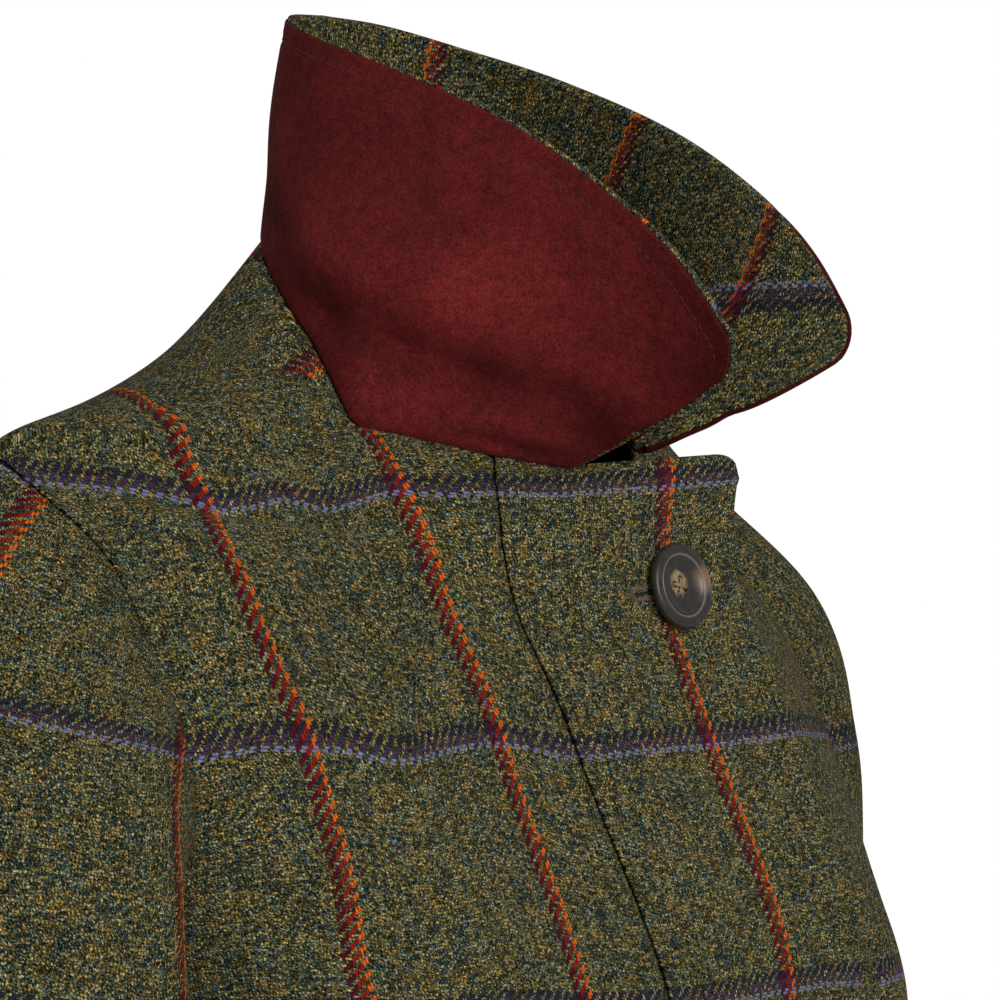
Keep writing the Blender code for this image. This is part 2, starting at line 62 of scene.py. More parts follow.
# %% [markdown]
# A garment is easiest to shape as a stack of rings round the body, the way a dress form is measured.
# Each ring gives a few points: centre front, front side, side, back side and centre back.
# A smooth curve runs through the rings, and a short wave series runs round each of them.

# %% Curves through short tables


def ease(t):
    t = np.clip(t, 0.0, 1.0)
    return t * t * (3.0 - 2.0 * t)


def unit(vectors):
    return vectors / np.maximum(np.linalg.norm(vectors, axis=-1, keepdims=True), 1e-12)


def hermite(start, leave, end, reach, t):
    return ((2 * t**3 - 3 * t**2 + 1) * start + (t**3 - 2 * t**2 + t) * leave
            + (3 * t**2 - 2 * t**3) * end + (t**3 - t**2) * reach)


def table_curve(table, row):
    """Smooth curve through the rows of a table, read at row numbers."""
    table = np.asarray(table, dtype=float)
    last = len(table) - 1
    row = np.asarray(row, dtype=float)
    k = np.clip(np.floor(row).astype(int), 0, last - 1)
    before = table[np.maximum(k - 1, 0)]
    start, end = table[k], table[k + 1]
    after = table[np.minimum(k + 2, last)]
    leave = np.where((k > 0)[..., None], (end - before) / 2.0, end - start)
    reach = np.where((k < last - 1)[..., None], (after - start) / 2.0, end - start)
    return hermite(start, leave, end, reach, (row - k)[..., None])


def even_series(samples, angle):
    """Cosine series through samples at 0, 45, 90, 135 and 180 degrees."""
    step = np.arange(5)
    weight = np.where((step == 0) | (step == 4), 0.5, 1.0)
    total = 0.0
    for k in range(5):
        share = 0.5 if k in (0, 4) else 1.0
        a = 0.5 * np.sum(weight * samples * np.cos(np.pi * step * k / 4), axis=-1)
        total = total + share * a * np.cos(k * angle)
    return total


def odd_series(samples, angle):
    """Sine series through samples at 45, 90 and 135 degrees."""
    step = np.arange(1, 4)
    total = 0.0
    for k in (1, 2, 3):
        b = 0.5 * np.sum(samples * np.sin(np.pi * step * k / 4), axis=-1)
        total = total + b * np.sin(k * angle)
    return total


# %% [markdown]
# The body's rings, in millimetres, from the hem to the neckline. Out is towards a side, forward is
# towards the front, and up is up. The collar bones, bust and shoulder blades are in these rows.

# %% Rings of the body
CF_F, CF_Z, FS_X, FS_F, FS_Z, SD_X, SD_F, SD_Z, BS_X, BS_F, BS_Z, CB_F, CB_Z = range(13)
RINGS = (
    (128, -665, 164, 100, -665, 222, 0, -662, 164, -108, -658, -138, -656),    # hem
    (122, -560, 156, 98, -560, 210, 0, -556, 156, -104, -552, -132, -550),     # hip
    (106, -392, 124, 80, -390, 164, -2, -388, 124, -72, -386, -86, -384),      # waist
    (134, -275, 144, 92, -272, 180, 2, -270, 140, -88, -268, -106, -266),      # under bust
    (135, -214, 151, 92, -208, 190, 4, -206, 148, -98, -204, -120, -202),      # bust
    (110, -150, 154, 68, -138, 196, 4, -146, 152, -100, -146, -128, -144),     # chest
    (95, -108, 142, 33, -92, 200, -8, -90, 152, -80, -104, -120, -100),        # across the arms
    (87, -84, 116, 28, -71, 197, -13, -46, 146, -44, -47, -98, -54),           # shoulder tips
    (81, -70, 86, 30, -55, 134, 3, -43, 98, -31, -26, -68, -20),               # mid shoulder
    (77, -62.5, 62, 36, -49, 74, 18, -37, 52, -24, 2, -44, 16),                # neckline
)
NECK, TIP, PIT = 9.0, 7.0, 4.15
LAP_SLOPE = (0.04, 0.04, 0.06, 0.17, 0.26, 0.28, 0.22, 0.32, 0.48, 0.56)   # lap forward per mm
PRINCESS_OUT = (72, 66, 50, 56, 57, 60, 60, 56, 50, 44)                    # seam from the centre
# Broad swells. Columns: out to the wearer's right, ring, spread across, spread in rings, forward.
SWELLS = ((-82, 2.95, 58, 1.0, 23), (85, 6.2, 40, 1.1, -11), (80, 4.4, 45, 1.0, -9))
SWELL_FADE = 0.5
LAP, LAP_START, LAP_SOFT, LAP_UNDER, LAP_EASE = 37.0, 25.0, 8.0, 3.4, 2.0
# The left shoulder lies further back: how far, and the places out and rings over which it starts.
SET_BACK, SET_BACK_FROM, SET_BACK_SPAN, SET_BACK_RING, SET_BACK_RINGS = 14.0, 50.0, 120.0, 4.5, 2.0
SEAM = -0.1              # mm between two sewn edges: they press together, so no light comes through
NUDGE = 1e-3             # small step for finding a direction
WIDEST, HALVINGS = math.radians(80.0), 40    # the search for an angle or a ring halves its span so often


def body(angle, ring):
    """Outer face of the body; the angle runs from the centre front to the wearer's right."""
    angle, ring = np.broadcast_arrays(np.asarray(angle, float), np.asarray(ring, float))
    size = table_curve(RINGS, ring)
    forward = even_series(size[..., (CF_F, FS_F, SD_F, BS_F, CB_F)], angle)
    up = even_series(size[..., (CF_Z, FS_Z, SD_Z, BS_Z, CB_Z)], angle)
    out = odd_series(size[..., (FS_X, SD_X, BS_X)], angle)
    front = ease(np.cos(angle) / SWELL_FADE)
    for at_out, at_ring, wide, tall, lift in SWELLS:
        reach = ((out - at_out) / wide) ** 2 + ((ring - at_ring) / tall) ** 2
        forward = forward + front * lift * np.exp(-reach)
    left = ease((-out - SET_BACK_FROM) / SET_BACK_SPAN) * ease((ring - SET_BACK_RING) / SET_BACK_RINGS)
    forward = forward - SET_BACK * left
    return np.stack((-out, -forward, up), axis=-1)


def angle_at(out, ring):
    """Angle at which the body is this far out, the wearer's right being positive."""
    out, ring = np.broadcast_arrays(np.asarray(out, float), np.asarray(ring, float))
    low, high = np.full(out.shape, -WIDEST), np.full(out.shape, WIDEST)
    for _ in range(HALVINGS):
        middle = (low + high) / 2.0
        short = -body(middle, ring)[..., 0] < out
        low = np.where(short, middle, low)
        high = np.where(short, high, middle)
    return (low + high) / 2.0


def per_ring(values, ring):
    return np.interp(ring, np.arange(len(values)), values)


def right_front(out, ring):
    """The body, carried on flat and forward where it laps past the centre."""
    out, ring = np.broadcast_arrays(np.asarray(out, float), np.asarray(ring, float))
    kept = np.maximum(out, LAP_START)
    past = kept - out
    point = body(angle_at(kept, ring), ring)
    point[..., 0] += past
    point[..., 1] -= per_ring(LAP_SLOPE, ring) * past * past / (past + LAP_SOFT)
    return point


def left_front(out, ring):
    """The body, pressed back to clear the inside of the right front that laps over it."""
    out, ring = np.broadcast_arrays(np.asarray(out, float), np.asarray(ring, float))
    point = body(angle_at(out, ring), ring)
    room = point[..., 1] - right_front(out, ring)[..., 1] - LAP_UNDER
    point[..., 1] += 0.5 * (np.hypot(room, LAP_EASE) - room)
    return point


chest = body(np.linspace(0, 2 * np.pi, 200), 4.0)
print("round the bust:", round(float(np.sum(np.linalg.norm(np.diff(chest, axis=0), axis=-1)))), "mm")

# %% [markdown]
# The armhole is a hole in the rings: between the armpit and the shoulder tip the front and the back
# panels stop short of the side. Rows are set closer together at the tip and the armpit, where it turns.

# %% Armhole and rows
ARM_FRONT, ARM_BACK, ARM_SKEW, ARM_ROUND = 30.0, 30.0, 1.3, 0.44
SHOULDER_BACK, SHOULDER_SKEW, SHOULDER_ROOM = 27.0, 1.6, 0.5    # this seam bows towards the back
ARM_STEPS, BELOW_ROWS, SHOULDER_ROWS = 56, 110, 34
arm_share = (0.5 - 0.5 * np.cos(np.pi * np.linspace(0.0, 1.0, ARM_STEPS + 1))) ** (1.0 / ARM_SKEW)
UNDER_FRONT, UNDER_BACK = 2.0 / 9.0, 3.0 / 9.0    # shares of the armhole at the under sleeve's seams
ARM_ROWS = PIT + (TIP - PIT) * np.sort(np.concatenate((arm_share, (UNDER_FRONT, UNDER_BACK))))
NECK_ROWS = np.array((0.42, 0.3, 0.19, 0.11, 0.05, 0.0))    # rings below the neckline, where it turns
BODY_ROWS = np.concatenate((np.linspace(0.0, PIT, BELOW_ROWS + 1)[:-1], ARM_ROWS[:-1],
                            np.linspace(TIP, NECK - NECK_ROWS[0], SHOULDER_ROWS + 1),
                            NECK - NECK_ROWS[1:]))


def side_angle(ring, reach):
    """Angle of the side seam, the armhole edge and the shoulder seam in turn."""
    share = np.clip((ring - PIT) / (TIP - PIT), 0.0, 1.0)
    over = np.clip((ring - TIP) / (NECK - TIP), 0.0, 1.0)
    bow = reach * np.sin(np.pi * share**ARM_SKEW) ** ARM_ROUND
    return np.radians(90.0 + bow + SHOULDER_BACK * np.sin(np.pi * over**SHOULDER_SKEW))


def seam_angle(angle, ring, pull):
    """Moves an angle along the cloth by half a seam gap."""
    run = body(angle + NUDGE, ring) - body(angle - NUDGE, ring)
    return angle + pull * SEAM * NUDGE / np.linalg.norm(run, axis=-1)


SIDE_PULL = 1.0 + SHOULDER_ROOM * np.clip(BODY_ROWS - TIP, 0.0, 1.0)
print("rows of a body panel:", len(BODY_ROWS))

# %% [markdown]
# Every cloth piece is a grid that is laid on its form: a primitive grid is added, and its points are
# moved to their places. Its edges dip a little, because cloth rolls into a seam or over a turned edge.
# Solidify then gives the wall its thickness. The UV map is the flat cloth, in metres, which the weave
# follows.

# %% Edges of a sheet
WALL = 2.0               # tweed with its turned edges
EDGE_STEPS = (0.0, 0.5, 1.1, 1.9, 3.0, 4.6)    # mm from an edge, for the rows and columns that roll over
# How deep and how wide the cloth rolls in at its edges. A seam that is pressed to one side has an upper
# edge that stands proud and a lower one that is tucked. The side seam's line goes on as the armhole's
# edge and then as the shoulder seam.
TURNED, SEWN, SHOULDER = (0.7, 1.25), (2.4, 0.95), (0.35, 1.25)
PROUD, TUCKED, SIDE = (0.4, 1.1), (2.0, 2.6), (2.2, 1.0)


def grid_out(points):
    """Outward directions of a grid of points whose columns run to the right and rows run up."""
    across = np.gradient(points, axis=1)
    up = np.gradient(points, axis=0)
    return unit(np.cross(across, up))


def edge_shares(width, middle_step):
    """Shares of a width: close steps at both edges and even steps between them."""
    inner = np.linspace(EDGE_STEPS[-1], width - EDGE_STEPS[-1], max(3, int(width / middle_step)))
    near = np.array(EDGE_STEPS[:-1])
    return np.concatenate((near, inner, width - near[::-1])) / width


def roll(distance, edge):
    depth, width = edge
    return -depth * np.exp(-((distance / width) ** 2))


def run_length(points, axis):
    """Distance along the rows or the columns of a grid, from its first point."""
    steps = np.linalg.norm(np.diff(points, axis=axis), axis=-1)
    shape = list(steps.shape)
    shape[axis] = 1
    return np.concatenate((np.zeros(shape), np.cumsum(steps, axis=axis)), axis=axis)


# %% Small helpers for objects


def only(obj):
    bpy.ops.object.select_all(action="DESELECT")
    obj.select_set(True)
    bpy.context.view_layer.objects.active = obj


def open_all():
    """Opens the active object for editing, with all of it selected."""
    bpy.ops.object.mode_set(mode="EDIT")
    bpy.ops.mesh.select_all(action="SELECT")


def join_all(pieces):
    only(pieces[0])
    for piece in pieces[1:]:
        piece.select_set(True)
    bpy.ops.object.join()
    return pieces[0]


def dress(obj, finish):
    obj.data.materials.clear()
    obj.data.materials.append(finish)


def set_down(model, matrix):
    """A copy of a model, moved to its place."""
    copy = model.copy()
    copy.data = model.data.copy()
    copy.data.transform(matrix)
    bpy.context.collection.objects.link(copy)
    return copy


# %% A sheet, its wall and its flat size


def give_wall(sheet, wall):
    """Thickens a sheet inwards, away from the side that shows."""
    only(sheet)
    solid = sheet.modifiers.new("wall", "SOLIDIFY")
    solid.thickness = wall * MM
    solid.offset = -1.0
    bpy.ops.object.modifier_apply(modifier=solid.name)


def lay_sheet(name, points, cloth, finish):
    """Adds a grid and lays it on its points (mm), with its flat cloth (mm)."""
    rows, columns = points.shape[:2]
    bpy.ops.object.select_all(action="DESELECT")
    bpy.ops.mesh.primitive_grid_add(x_subdivisions=columns - 1, y_subdivisions=rows - 1, size=2.0)
    sheet = bpy.context.object
    sheet.name = sheet.data.name = name
    mesh = sheet.data
    mesh.vertices.foreach_set("co", (points * MM).ravel())
    corner = np.empty(len(mesh.loops), dtype=np.int32)
    mesh.loops.foreach_get("vertex_index", corner)
    mesh.uv_layers[0].name = "weave"
    mesh.uv_layers[0].uv.foreach_set("vector", (cloth.reshape(-1, 2) * MM)[corner].ravel())
    mesh.update()
    only(sheet)
    bpy.ops.object.shade_smooth()
    dress(sheet, finish)
    return sheet


def declare(sheet, node):
    """Hands a cloth piece over: attaches it to the root and hides the solid that it stands for."""
    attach(sheet, "root")
    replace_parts(sheet, node)


# %% [markdown]
# A check only looks woven if it follows the cloth. Each stripe is a course over the form, given as
# places. The flat cloth's two directions are worked out from those courses: between two stripes they
# are spread evenly, and beyond the last one they go on by the length of the cloth.

# %% Where the stripes run
REPEAT = 80.0            # mm from one stripe to the next, both ways
STRIPE_Z = (-665.0, -200.0, -145.0, -110.0, -85.0, -60.0, -30.0)
# Warp stripes of the right front: places across at those heights, the wearer's left being positive.
FRONT_WARP = (
    (0.0, (-3, -3, -4.5, -5, 3, 12, 20)),
    (-REPEAT, (-92, -91.5, -90.5, -82.5, -78, -76.5, -70)),
    (-2 * REPEAT, (-163, -160.5, -158.5, -149, -138, -135.5, -139)),
)
# Weft stripes of the right front: place across, then height.
FRONT_WEFT = (
    (0.0, ((-190, -53), (-181, -55), (-154, -59), (-140, -63), (-131, -66.5), (-122, -66), (-113, -64.5),
           (-107, -66), (-100, -69), (-92, -67.5), (-85, -65.5), (-79, -64.4), (-69, -66.2), (-53, -66.5),
           (-36, -68.3), (-18, -68.8), (7, -69.4), (45, -69.6))),
    (-REPEAT, ((-190, -128), (-167, -126), (-146, -129), (-136, -133), (-131, -134.5), (-118, -135),
               (-104, -135), (-96, -135.2), (-87, -136.6), (-79, -138.7), (-72, -141.5), (-65, -144),
               (-55, -145), (-38, -146), (-22, -148), (-1, -150), (16, -151), (45, -153))),
    (-2 * REPEAT, ((-190, -195), (-165, -196.5), (-146, -201), (-121, -204), (-88, -213.5), (-67, -217.5),
                   (-46, -220.7), (-17, -224.3), (-1, -226.6), (15, -228.7), (45, -235))),
)
# The left front's side, which hangs a little lower.
LEFT_Z = (-665.0, -230.0, -190.0, -165.0, -145.0, -127.0, -30.0)
LEFT_WARP = ((-2 * REPEAT, (-118, -120, -122, -124, -128, -134, -139)),)
LEFT_WEFT = (
    (0.0, ((-190, -110), (-140, -96), (-121, -92), (-101, -87), (-79, -82), (-64, -78.5))),
    (-REPEAT, ((-190, -190), (-140, -176), (-121, -172), (-101, -167), (-79, -162), (-64, -158.5))),
    (-2 * REPEAT, ((-190, -270), (-140, -256), (-121, -252), (-101, -247), (-79, -243), (-64, -240))),
)
# Over the shoulder: places from front to back, and how far out the first two warp stripes run there.
SHOULDER_Y = (-40, -30, -19, -11, -4, 1, 6.5, 11, 18, 34, 80)
SHOULDER_SECOND = (144, 139.5, 136.5, 136, 136.4, 137, 137.2, 136.2, 132.5, 125, 122)
FRONT_FIRST = (78.5, 75, 72, 68, 65, 62, 60, 58, 56, 54, 50)
BACK_FIRST = (84, 82, 80, 77, 73, 69, 63, 58, 52, 45, 42)


def crossing(length, miss):
    """Length along a line at which it meets a course, from how far each point misses it."""
    turn = np.nonzero(np.sign(miss[:-1]) != np.sign(miss[1:]))[0]
    if len(turn):
        k = turn[0]
        return length[k] + (length[k + 1] - length[k]) * miss[k] / (miss[k] - miss[k + 1])
    at_end = abs(miss[-1]) < abs(miss[0])
    return length[-1] + abs(miss[-1]) if at_end else length[0] - abs(miss[0])


def spread(length, at, value):
    """Cloth measure along a line from the crossings that it has, going on by length beyond them."""
    order = np.argsort(at)
    at, value = np.asarray(at)[order], np.asarray(value)[order]
    sign = 1.0 if len(at) < 2 or value[-1] > value[0] else -1.0
    inside = np.interp(length, at, value)
    beyond = np.maximum(length - at[-1], 0.0) - np.maximum(at[0] - length, 0.0)
    return inside + sign * beyond


def across_cloth(points, heights, courses, mirror):
    """Cloth measure across each row, which grows to the right as seen from outside."""
    length = run_length(points, 1)
    result = np.empty(points.shape[:2])
    for r in range(len(points)):
        x, z = points[r, :, 0] * mirror, points[r, :, 2]
        at = [crossing(length[r], x - np.interp(z, heights, course)) for _, course in courses]
        result[r] = spread(length[r], at, [value for value, _ in courses])
    return result


def along_cloth(points, courses, mirror):
    """Cloth measure up each column, and straight up and back above the first course."""
    length = run_length(points, 0)
    result = np.empty(points.shape[:2])
    start_x, start_y = [], []
    for c in range(points.shape[1]):
        x, z = points[:, c, 0] * mirror, points[:, c, 2]
        at = []
        for _, course in courses:
            place, height = np.array(course).T
            at.append(crossing(length[:, c], z - np.interp(x, place, height)))
        result[:, c] = spread(length[:, c], at, [value for value, _ in courses])
        start_x.append(np.interp(at[0], length[:, c], x))
        start_y.append(np.interp(at[0], length[:, c], points[:, c, 1]))
    order = np.argsort(start_x)
    x = points[..., 0] * mirror
    place, height = np.array(courses[0][1]).T
    back = points[..., 1] - np.interp(x, np.array(start_x)[order], np.array(start_y)[order])
    above = points[..., 2] - np.interp(x, place, height)
    return np.where(result > courses[0][0], np.hypot(back, above), result)


def over_shoulder(points, first):
    """Cloth measure out from the neck, where the cloth lies over the shoulder."""
    out, y = np.abs(points[..., 0]), points[..., 1]
    first, second = np.interp(y, SHOULDER_Y, first), np.interp(y, SHOULDER_Y, SHOULDER_SECOND)
    between = REPEAT * np.clip((out - first) / (second - first), 0.0, 1.0)
    return REPEAT + between + np.maximum(out - second, 0.0) - np.maximum(first - out, 0.0)


print("check repeat:", REPEAT, "mm")

# %% [markdown]
# The tweed is a two and two twill: each yarn passes over two and under two, one step on in each row, so
# the floats make fine diagonal lines. It could be a picture, but a chart of yarns stays sharp close up.
# The group counts warp and weft yarns from the UV map, asks which is on top, and gives each its dye:
# a melange of olive, moss, teal and brown, with the stripe yarns in their places. Shade is painted into
# the hollows between the yarns, and light onto their crowns.

# %% Small helpers for shader nodes


def srgb(red, green, blue):
    """Screen colour 0 to 255 as the linear colour that a shader takes."""
    return tuple(c / 12.92 if c <= 0.04045 else ((c + 0.055) / 1.055) ** 2.4
                 for c in (red / 255, green / 255, blue / 255)) + (1.0,)


def put(tree, socket, value):
    if isinstance(value, bpy.types.NodeSocket):
        tree.links.new(value, socket)
    else:
        socket.default_value = value


def calc(tree, operation, *values):
    node = tree.nodes.new("ShaderNodeMath")
    node.operation = operation
    for socket, value in zip(node.inputs, values):
        put(tree, socket, value)
    return node.outputs[0]


def blend(tree, share, first, second, how="MIX"):
    node = tree.nodes.new("ShaderNodeMix")
    node.data_type = "RGBA"
    node.blend_type = how
    put(tree, node.inputs[0], share)
    put(tree, node.inputs[6], first)
    put(tree, node.inputs[7], second)
    return node.outputs[2]


def join(tree, x, y, z=0.0):
    node = tree.nodes.new("ShaderNodeCombineXYZ")
    for socket, value in zip(node.inputs, (x, y, z)):
        put(tree, socket, value)
    return node.outputs[0]


def cloud(tree, vector, scale, detail=2.0, rough=0.5):
    node = tree.nodes.new("ShaderNodeTexNoise")
    put(tree, node.inputs["Vector"], vector)
    node.inputs["Scale"].default_value = scale
    node.inputs["Detail"].default_value = detail
    node.inputs["Roughness"].default_value = rough
    return node.outputs["Fac"]


def speck(tree, vector):
    node = tree.nodes.new("ShaderNodeTexWhiteNoise")
    node.noise_dimensions = "3D"
    put(tree, node.inputs["Vector"], vector)
    return node.outputs["Value"]


def dyes(tree, value, stops):
    """Colour ramp from (place, colour) rows."""
    node = tree.nodes.new("ShaderNodeValToRGB")
    ramp = node.color_ramp
    while len(ramp.elements) < len(stops):
        ramp.elements.new(0.5)
    for element, (place, colour) in zip(ramp.elements, stops):
        element.position = place
        element.color = colour
    put(tree, node.inputs["Fac"], value)
    return node.outputs["Color"]


def smooth_step(tree, value, low, high):
    node = tree.nodes.new("ShaderNodeMapRange")
    node.interpolation_type = "SMOOTHSTEP"
    put(tree, node.inputs["Value"], value)
    node.inputs["From Min"].default_value = low
    node.inputs["From Max"].default_value = high
    return node.outputs["Result"]


def grey(value):
    return (value, value, value, 1.0)


def new_finish(name, rough):
    """New material, with its node tree and its main shader."""
    finish = bpy.data.materials.new(name)
    finish.use_nodes = True
    shader = finish.node_tree.nodes["Principled BSDF"]
    shader.inputs["Roughness"].default_value = rough
    return finish, finish.node_tree, shader


def object_place(tree):
    return tree.nodes.new("ShaderNodeTexCoord").outputs["Object"]


def flat_place(tree, uv_map):
    node = tree.nodes.new("ShaderNodeUVMap")
    node.uv_map = uv_map
    return node.outputs["UV"]


def two_parts(tree, vector):
    node = tree.nodes.new("ShaderNodeSeparateXYZ")
    put(tree, node.inputs[0], vector)
    return node.outputs[0], node.outputs[1]


def raise_grain(tree, shader, height, strength, distance):
    """Bump from a height, on a shader."""
    node = tree.nodes.new("ShaderNodeBump")
    node.inputs["Strength"].default_value = strength
    node.inputs["Distance"].default_value = distance
    put(tree, node.inputs["Height"], height)
    put(tree, shader.inputs["Normal"], node.outputs["Normal"])


# %% The weave chart
YARNS = 84               # yarns in one repeat of the check
WANDER = 0.6             # yarns that a handspun yarn strays by
WARP_STRAYS, WEFT_STRAYS, TINT_DRIFTS = 0.11, 0.14, 0.12    # how often these change, per yarn
FIBRE_CLOUD, HUE_CLOUD = (1.0, 1.5, 0.55), (0.9, 1.0)       # scale, detail and roughness
HUE_SEED, WARP_SEED, WEFT_SEED = 5.5, 3.0, 7.0              # these keep the chances apart
TWILL = 4.0              # yarns in one step of the twill, over two and under two
# Stripe charts: first yarn's place, then how many yarns of each dye, from the left and from the bottom.
WARP_FIRST, WARP_STRIPE = -4, ((3, srgb(78, 18, 28)), (3, srgb(128, 34, 24)), (2, srgb(204, 94, 28)))
WEFT_FIRST, WEFT_STRIPE = -1, ((2, srgb(112, 112, 140)), (3, srgb(64, 46, 70)), (3, srgb(38, 37, 50)))
# Wool from its dark fibres to its light ones, and the fibres' tints: blue, teal, moss, olive, gold, rust.
MELANGE = (
    (0.00, srgb(10, 10, 8)),
    (0.24, srgb(26, 25, 16)),
    (0.44, srgb(58, 55, 34)),
    (0.60, srgb(93, 88, 53)),
    (0.80, srgb(140, 131, 86)),
    (1.00, srgb(198, 188, 148)),
)
TINTS = (
    (0.32, (0.37, 0.77, 2.85, 1.0)),
    (0.40, (0.48, 1.11, 2.30, 1.0)),
    (0.46, (0.84, 1.03, 1.12, 1.0)),
    (0.53, (1.05, 0.98, 0.77, 1.0)),
    (0.60, (1.23, 1.04, 0.53, 1.0)),
    (0.68, (1.54, 0.84, 0.48, 1.0)),
)
FLECK_ACROSS, FLECK_ALONG = 1.75, 0.78    # how fine the slanting fibres are, across and along them
FLECK_DEPTH, FLOAT_DEPTH = 2.35, 0.35     # how far fibres and whole floats differ in tone
FLOAT_TINT, DRIFT_TINT = 0.12, 0.25       # how far floats and whole patches differ in tint
FLOAT_LOW, PAINTED_HOLLOW_SHADE, PAINTED_CROWN_LIGHT = 0.45, 0.42, 0.75    # a float's ends, and the painted shade low on it and painted light high on it


def stripe_dye(tree, place, ground, fibres, first, chart):
    """Ground colour, with the charted dyes where the yarn's place in the repeat calls for them."""
    colour = ground
    for count, dye in chart:
        from_middle = calc(tree, "SUBTRACT", place, first + (count - 1) / 2.0)
        inside = calc(tree, "LESS_THAN", calc(tree, "ABSOLUTE", from_middle), count / 2.0)
        colour = blend(tree, inside, colour, blend(tree, 1.0, dye, fibres, "MULTIPLY"))
        first += count
    return colour


def make_tweed_group():
    tree = bpy.data.node_groups.new("windowpane_tweed", "ShaderNodeTree")
    tree.interface.new_socket("Cloth", in_out="INPUT", socket_type="NodeSocketVector")
    tree.interface.new_socket("Color", in_out="OUTPUT", socket_type="NodeSocketColor")
    tree.interface.new_socket("Height", in_out="OUTPUT", socket_type="NodeSocketFloat")
    start = tree.nodes.new("NodeGroupInput")
    end = tree.nodes.new("NodeGroupOutput")

    def op(operation, *values):
        return calc(tree, operation, *values)

    def times(first, second):
        return op("MULTIPLY", first, second)

    def plus(first, second):
        return op("ADD", first, second)

    def swing(value, reach):
        return times(op("SUBTRACT", value, 0.5), reach)

    def crown(x):
        return op("SINE", times(x, math.pi))

    def pick(over, first, second):
        """One value where the warp is over and another where the weft is."""
        return plus(times(first, over), times(second, op("SUBTRACT", 1.0, over)))

    per_metre = YARNS / (REPEAT * MM)
    flat_u, flat_v = (times(part, per_metre) for part in two_parts(tree, start.outputs["Cloth"]))
    flat = join(tree, flat_u, flat_v)
    # Handspun yarns wander a little.
    u = plus(flat_u, swing(cloud(tree, flat, WARP_STRAYS), WANDER))
    v = plus(flat_v, swing(cloud(tree, flat, WEFT_STRAYS), WANDER))
    end_no, pick_no = op("FLOOR", u), op("FLOOR", v)
    in_u, in_v = op("FRACT", u), op("FRACT", v)
    step = op("FLOORED_MODULO", op("SUBTRACT", end_no, pick_no), TWILL)
    warp_up = op("LESS_THAN", step, 1.5)
    # Height of the yarn on top: round across, and arched along its float.
    warp_run = op("DIVIDE", plus(op("SUBTRACT", 1.0, step), in_v), 2.0)
    weft_run = op("DIVIDE", plus(op("SUBTRACT", step, 2.0), in_u), 2.0)
    arches = [times(crown(across), plus(FLOAT_LOW, times(1.0 - FLOAT_LOW, crown(run))))
              for across, run in ((in_u, warp_run), (in_v, weft_run))]
    height = pick(warp_up, *arches)
    # Spun fibres lie aslant on the yarn, and each float takes its own mix of them.
    across = times(plus(flat_u, flat_v), FLECK_ACROSS)
    along = times(op("SUBTRACT", flat_u, flat_v), FLECK_ALONG)
    fibre = cloud(tree, join(tree, across, along, warp_up), *FIBRE_CLOUD)
    hue = cloud(tree, join(tree, across, along, plus(warp_up, HUE_SEED)), *HUE_CLOUD)
    warp_float = op("FLOOR", op("DIVIDE", op("SUBTRACT", pick_no, end_no), TWILL))
    weft_float = op("FLOOR", op("DIVIDE", op("SUBTRACT", end_no, pick_no), TWILL))
    own = pick(warp_up, speck(tree, join(tree, end_no, warp_float, WARP_SEED)),
               speck(tree, join(tree, weft_float, pick_no, WEFT_SEED)))
    tone = plus(0.5, plus(swing(fibre, FLECK_DEPTH), swing(own, FLOAT_DEPTH)))
    drift = cloud(tree, flat, TINT_DRIFTS)
    tint = dyes(tree, plus(hue, plus(swing(own, FLOAT_TINT), swing(drift, DRIFT_TINT))), TINTS)
    ground = blend(tree, 1.0, dyes(tree, tone, MELANGE), tint, "MULTIPLY")
    half = YARNS / 2.0

    def place_in_repeat(number):
        return op("SUBTRACT", op("FLOORED_MODULO", plus(number, half), float(YARNS)), half)

    # Stripe yarns keep the light and dark of their fibres.
    fibres = dyes(tree, fibre, ((0.30, grey(0.35)), (0.70, grey(1.65))))
    warp_dye = stripe_dye(tree, place_in_repeat(end_no), ground, fibres, WARP_FIRST, WARP_STRIPE)
    weft_dye = stripe_dye(tree, place_in_repeat(pick_no), ground, fibres, WEFT_FIRST, WEFT_STRIPE)
    dyed = blend(tree, warp_up, weft_dye, warp_dye)
    # Painted shade between the yarns and painted light on their crowns: the colour darkens where a yarn
    # lies low.
    painted_yarn_shade = plus(PAINTED_HOLLOW_SHADE, times(height, PAINTED_CROWN_LIGHT))
    colour = blend(tree, 1.0, dyed, join(tree, painted_yarn_shade, painted_yarn_shade, painted_yarn_shade), "MULTIPLY")
    tree.links.new(colour, end.inputs["Color"])
    tree.links.new(height, end.inputs["Height"])
    return tree


TWEED_GROUP = make_tweed_group()


def make_tweed():
    finish, tree, shader = new_finish("olive_tweed", 0.92)
    weave = tree.nodes.new("ShaderNodeGroup")
    weave.node_tree = TWEED_GROUP
    put(tree, weave.inputs["Cloth"], flat_place(tree, "weave"))
    put(tree, shader.inputs["Base Color"], weave.outputs["Color"])
    raise_grain(tree, shader, weave.outputs["Height"], 0.55, 0.0004)
    shader.inputs["Specular IOR Level"].default_value = 0.06
    return finish


TWEED = make_tweed()
print("tweed nodes:", len(TWEED_GROUP.nodes))
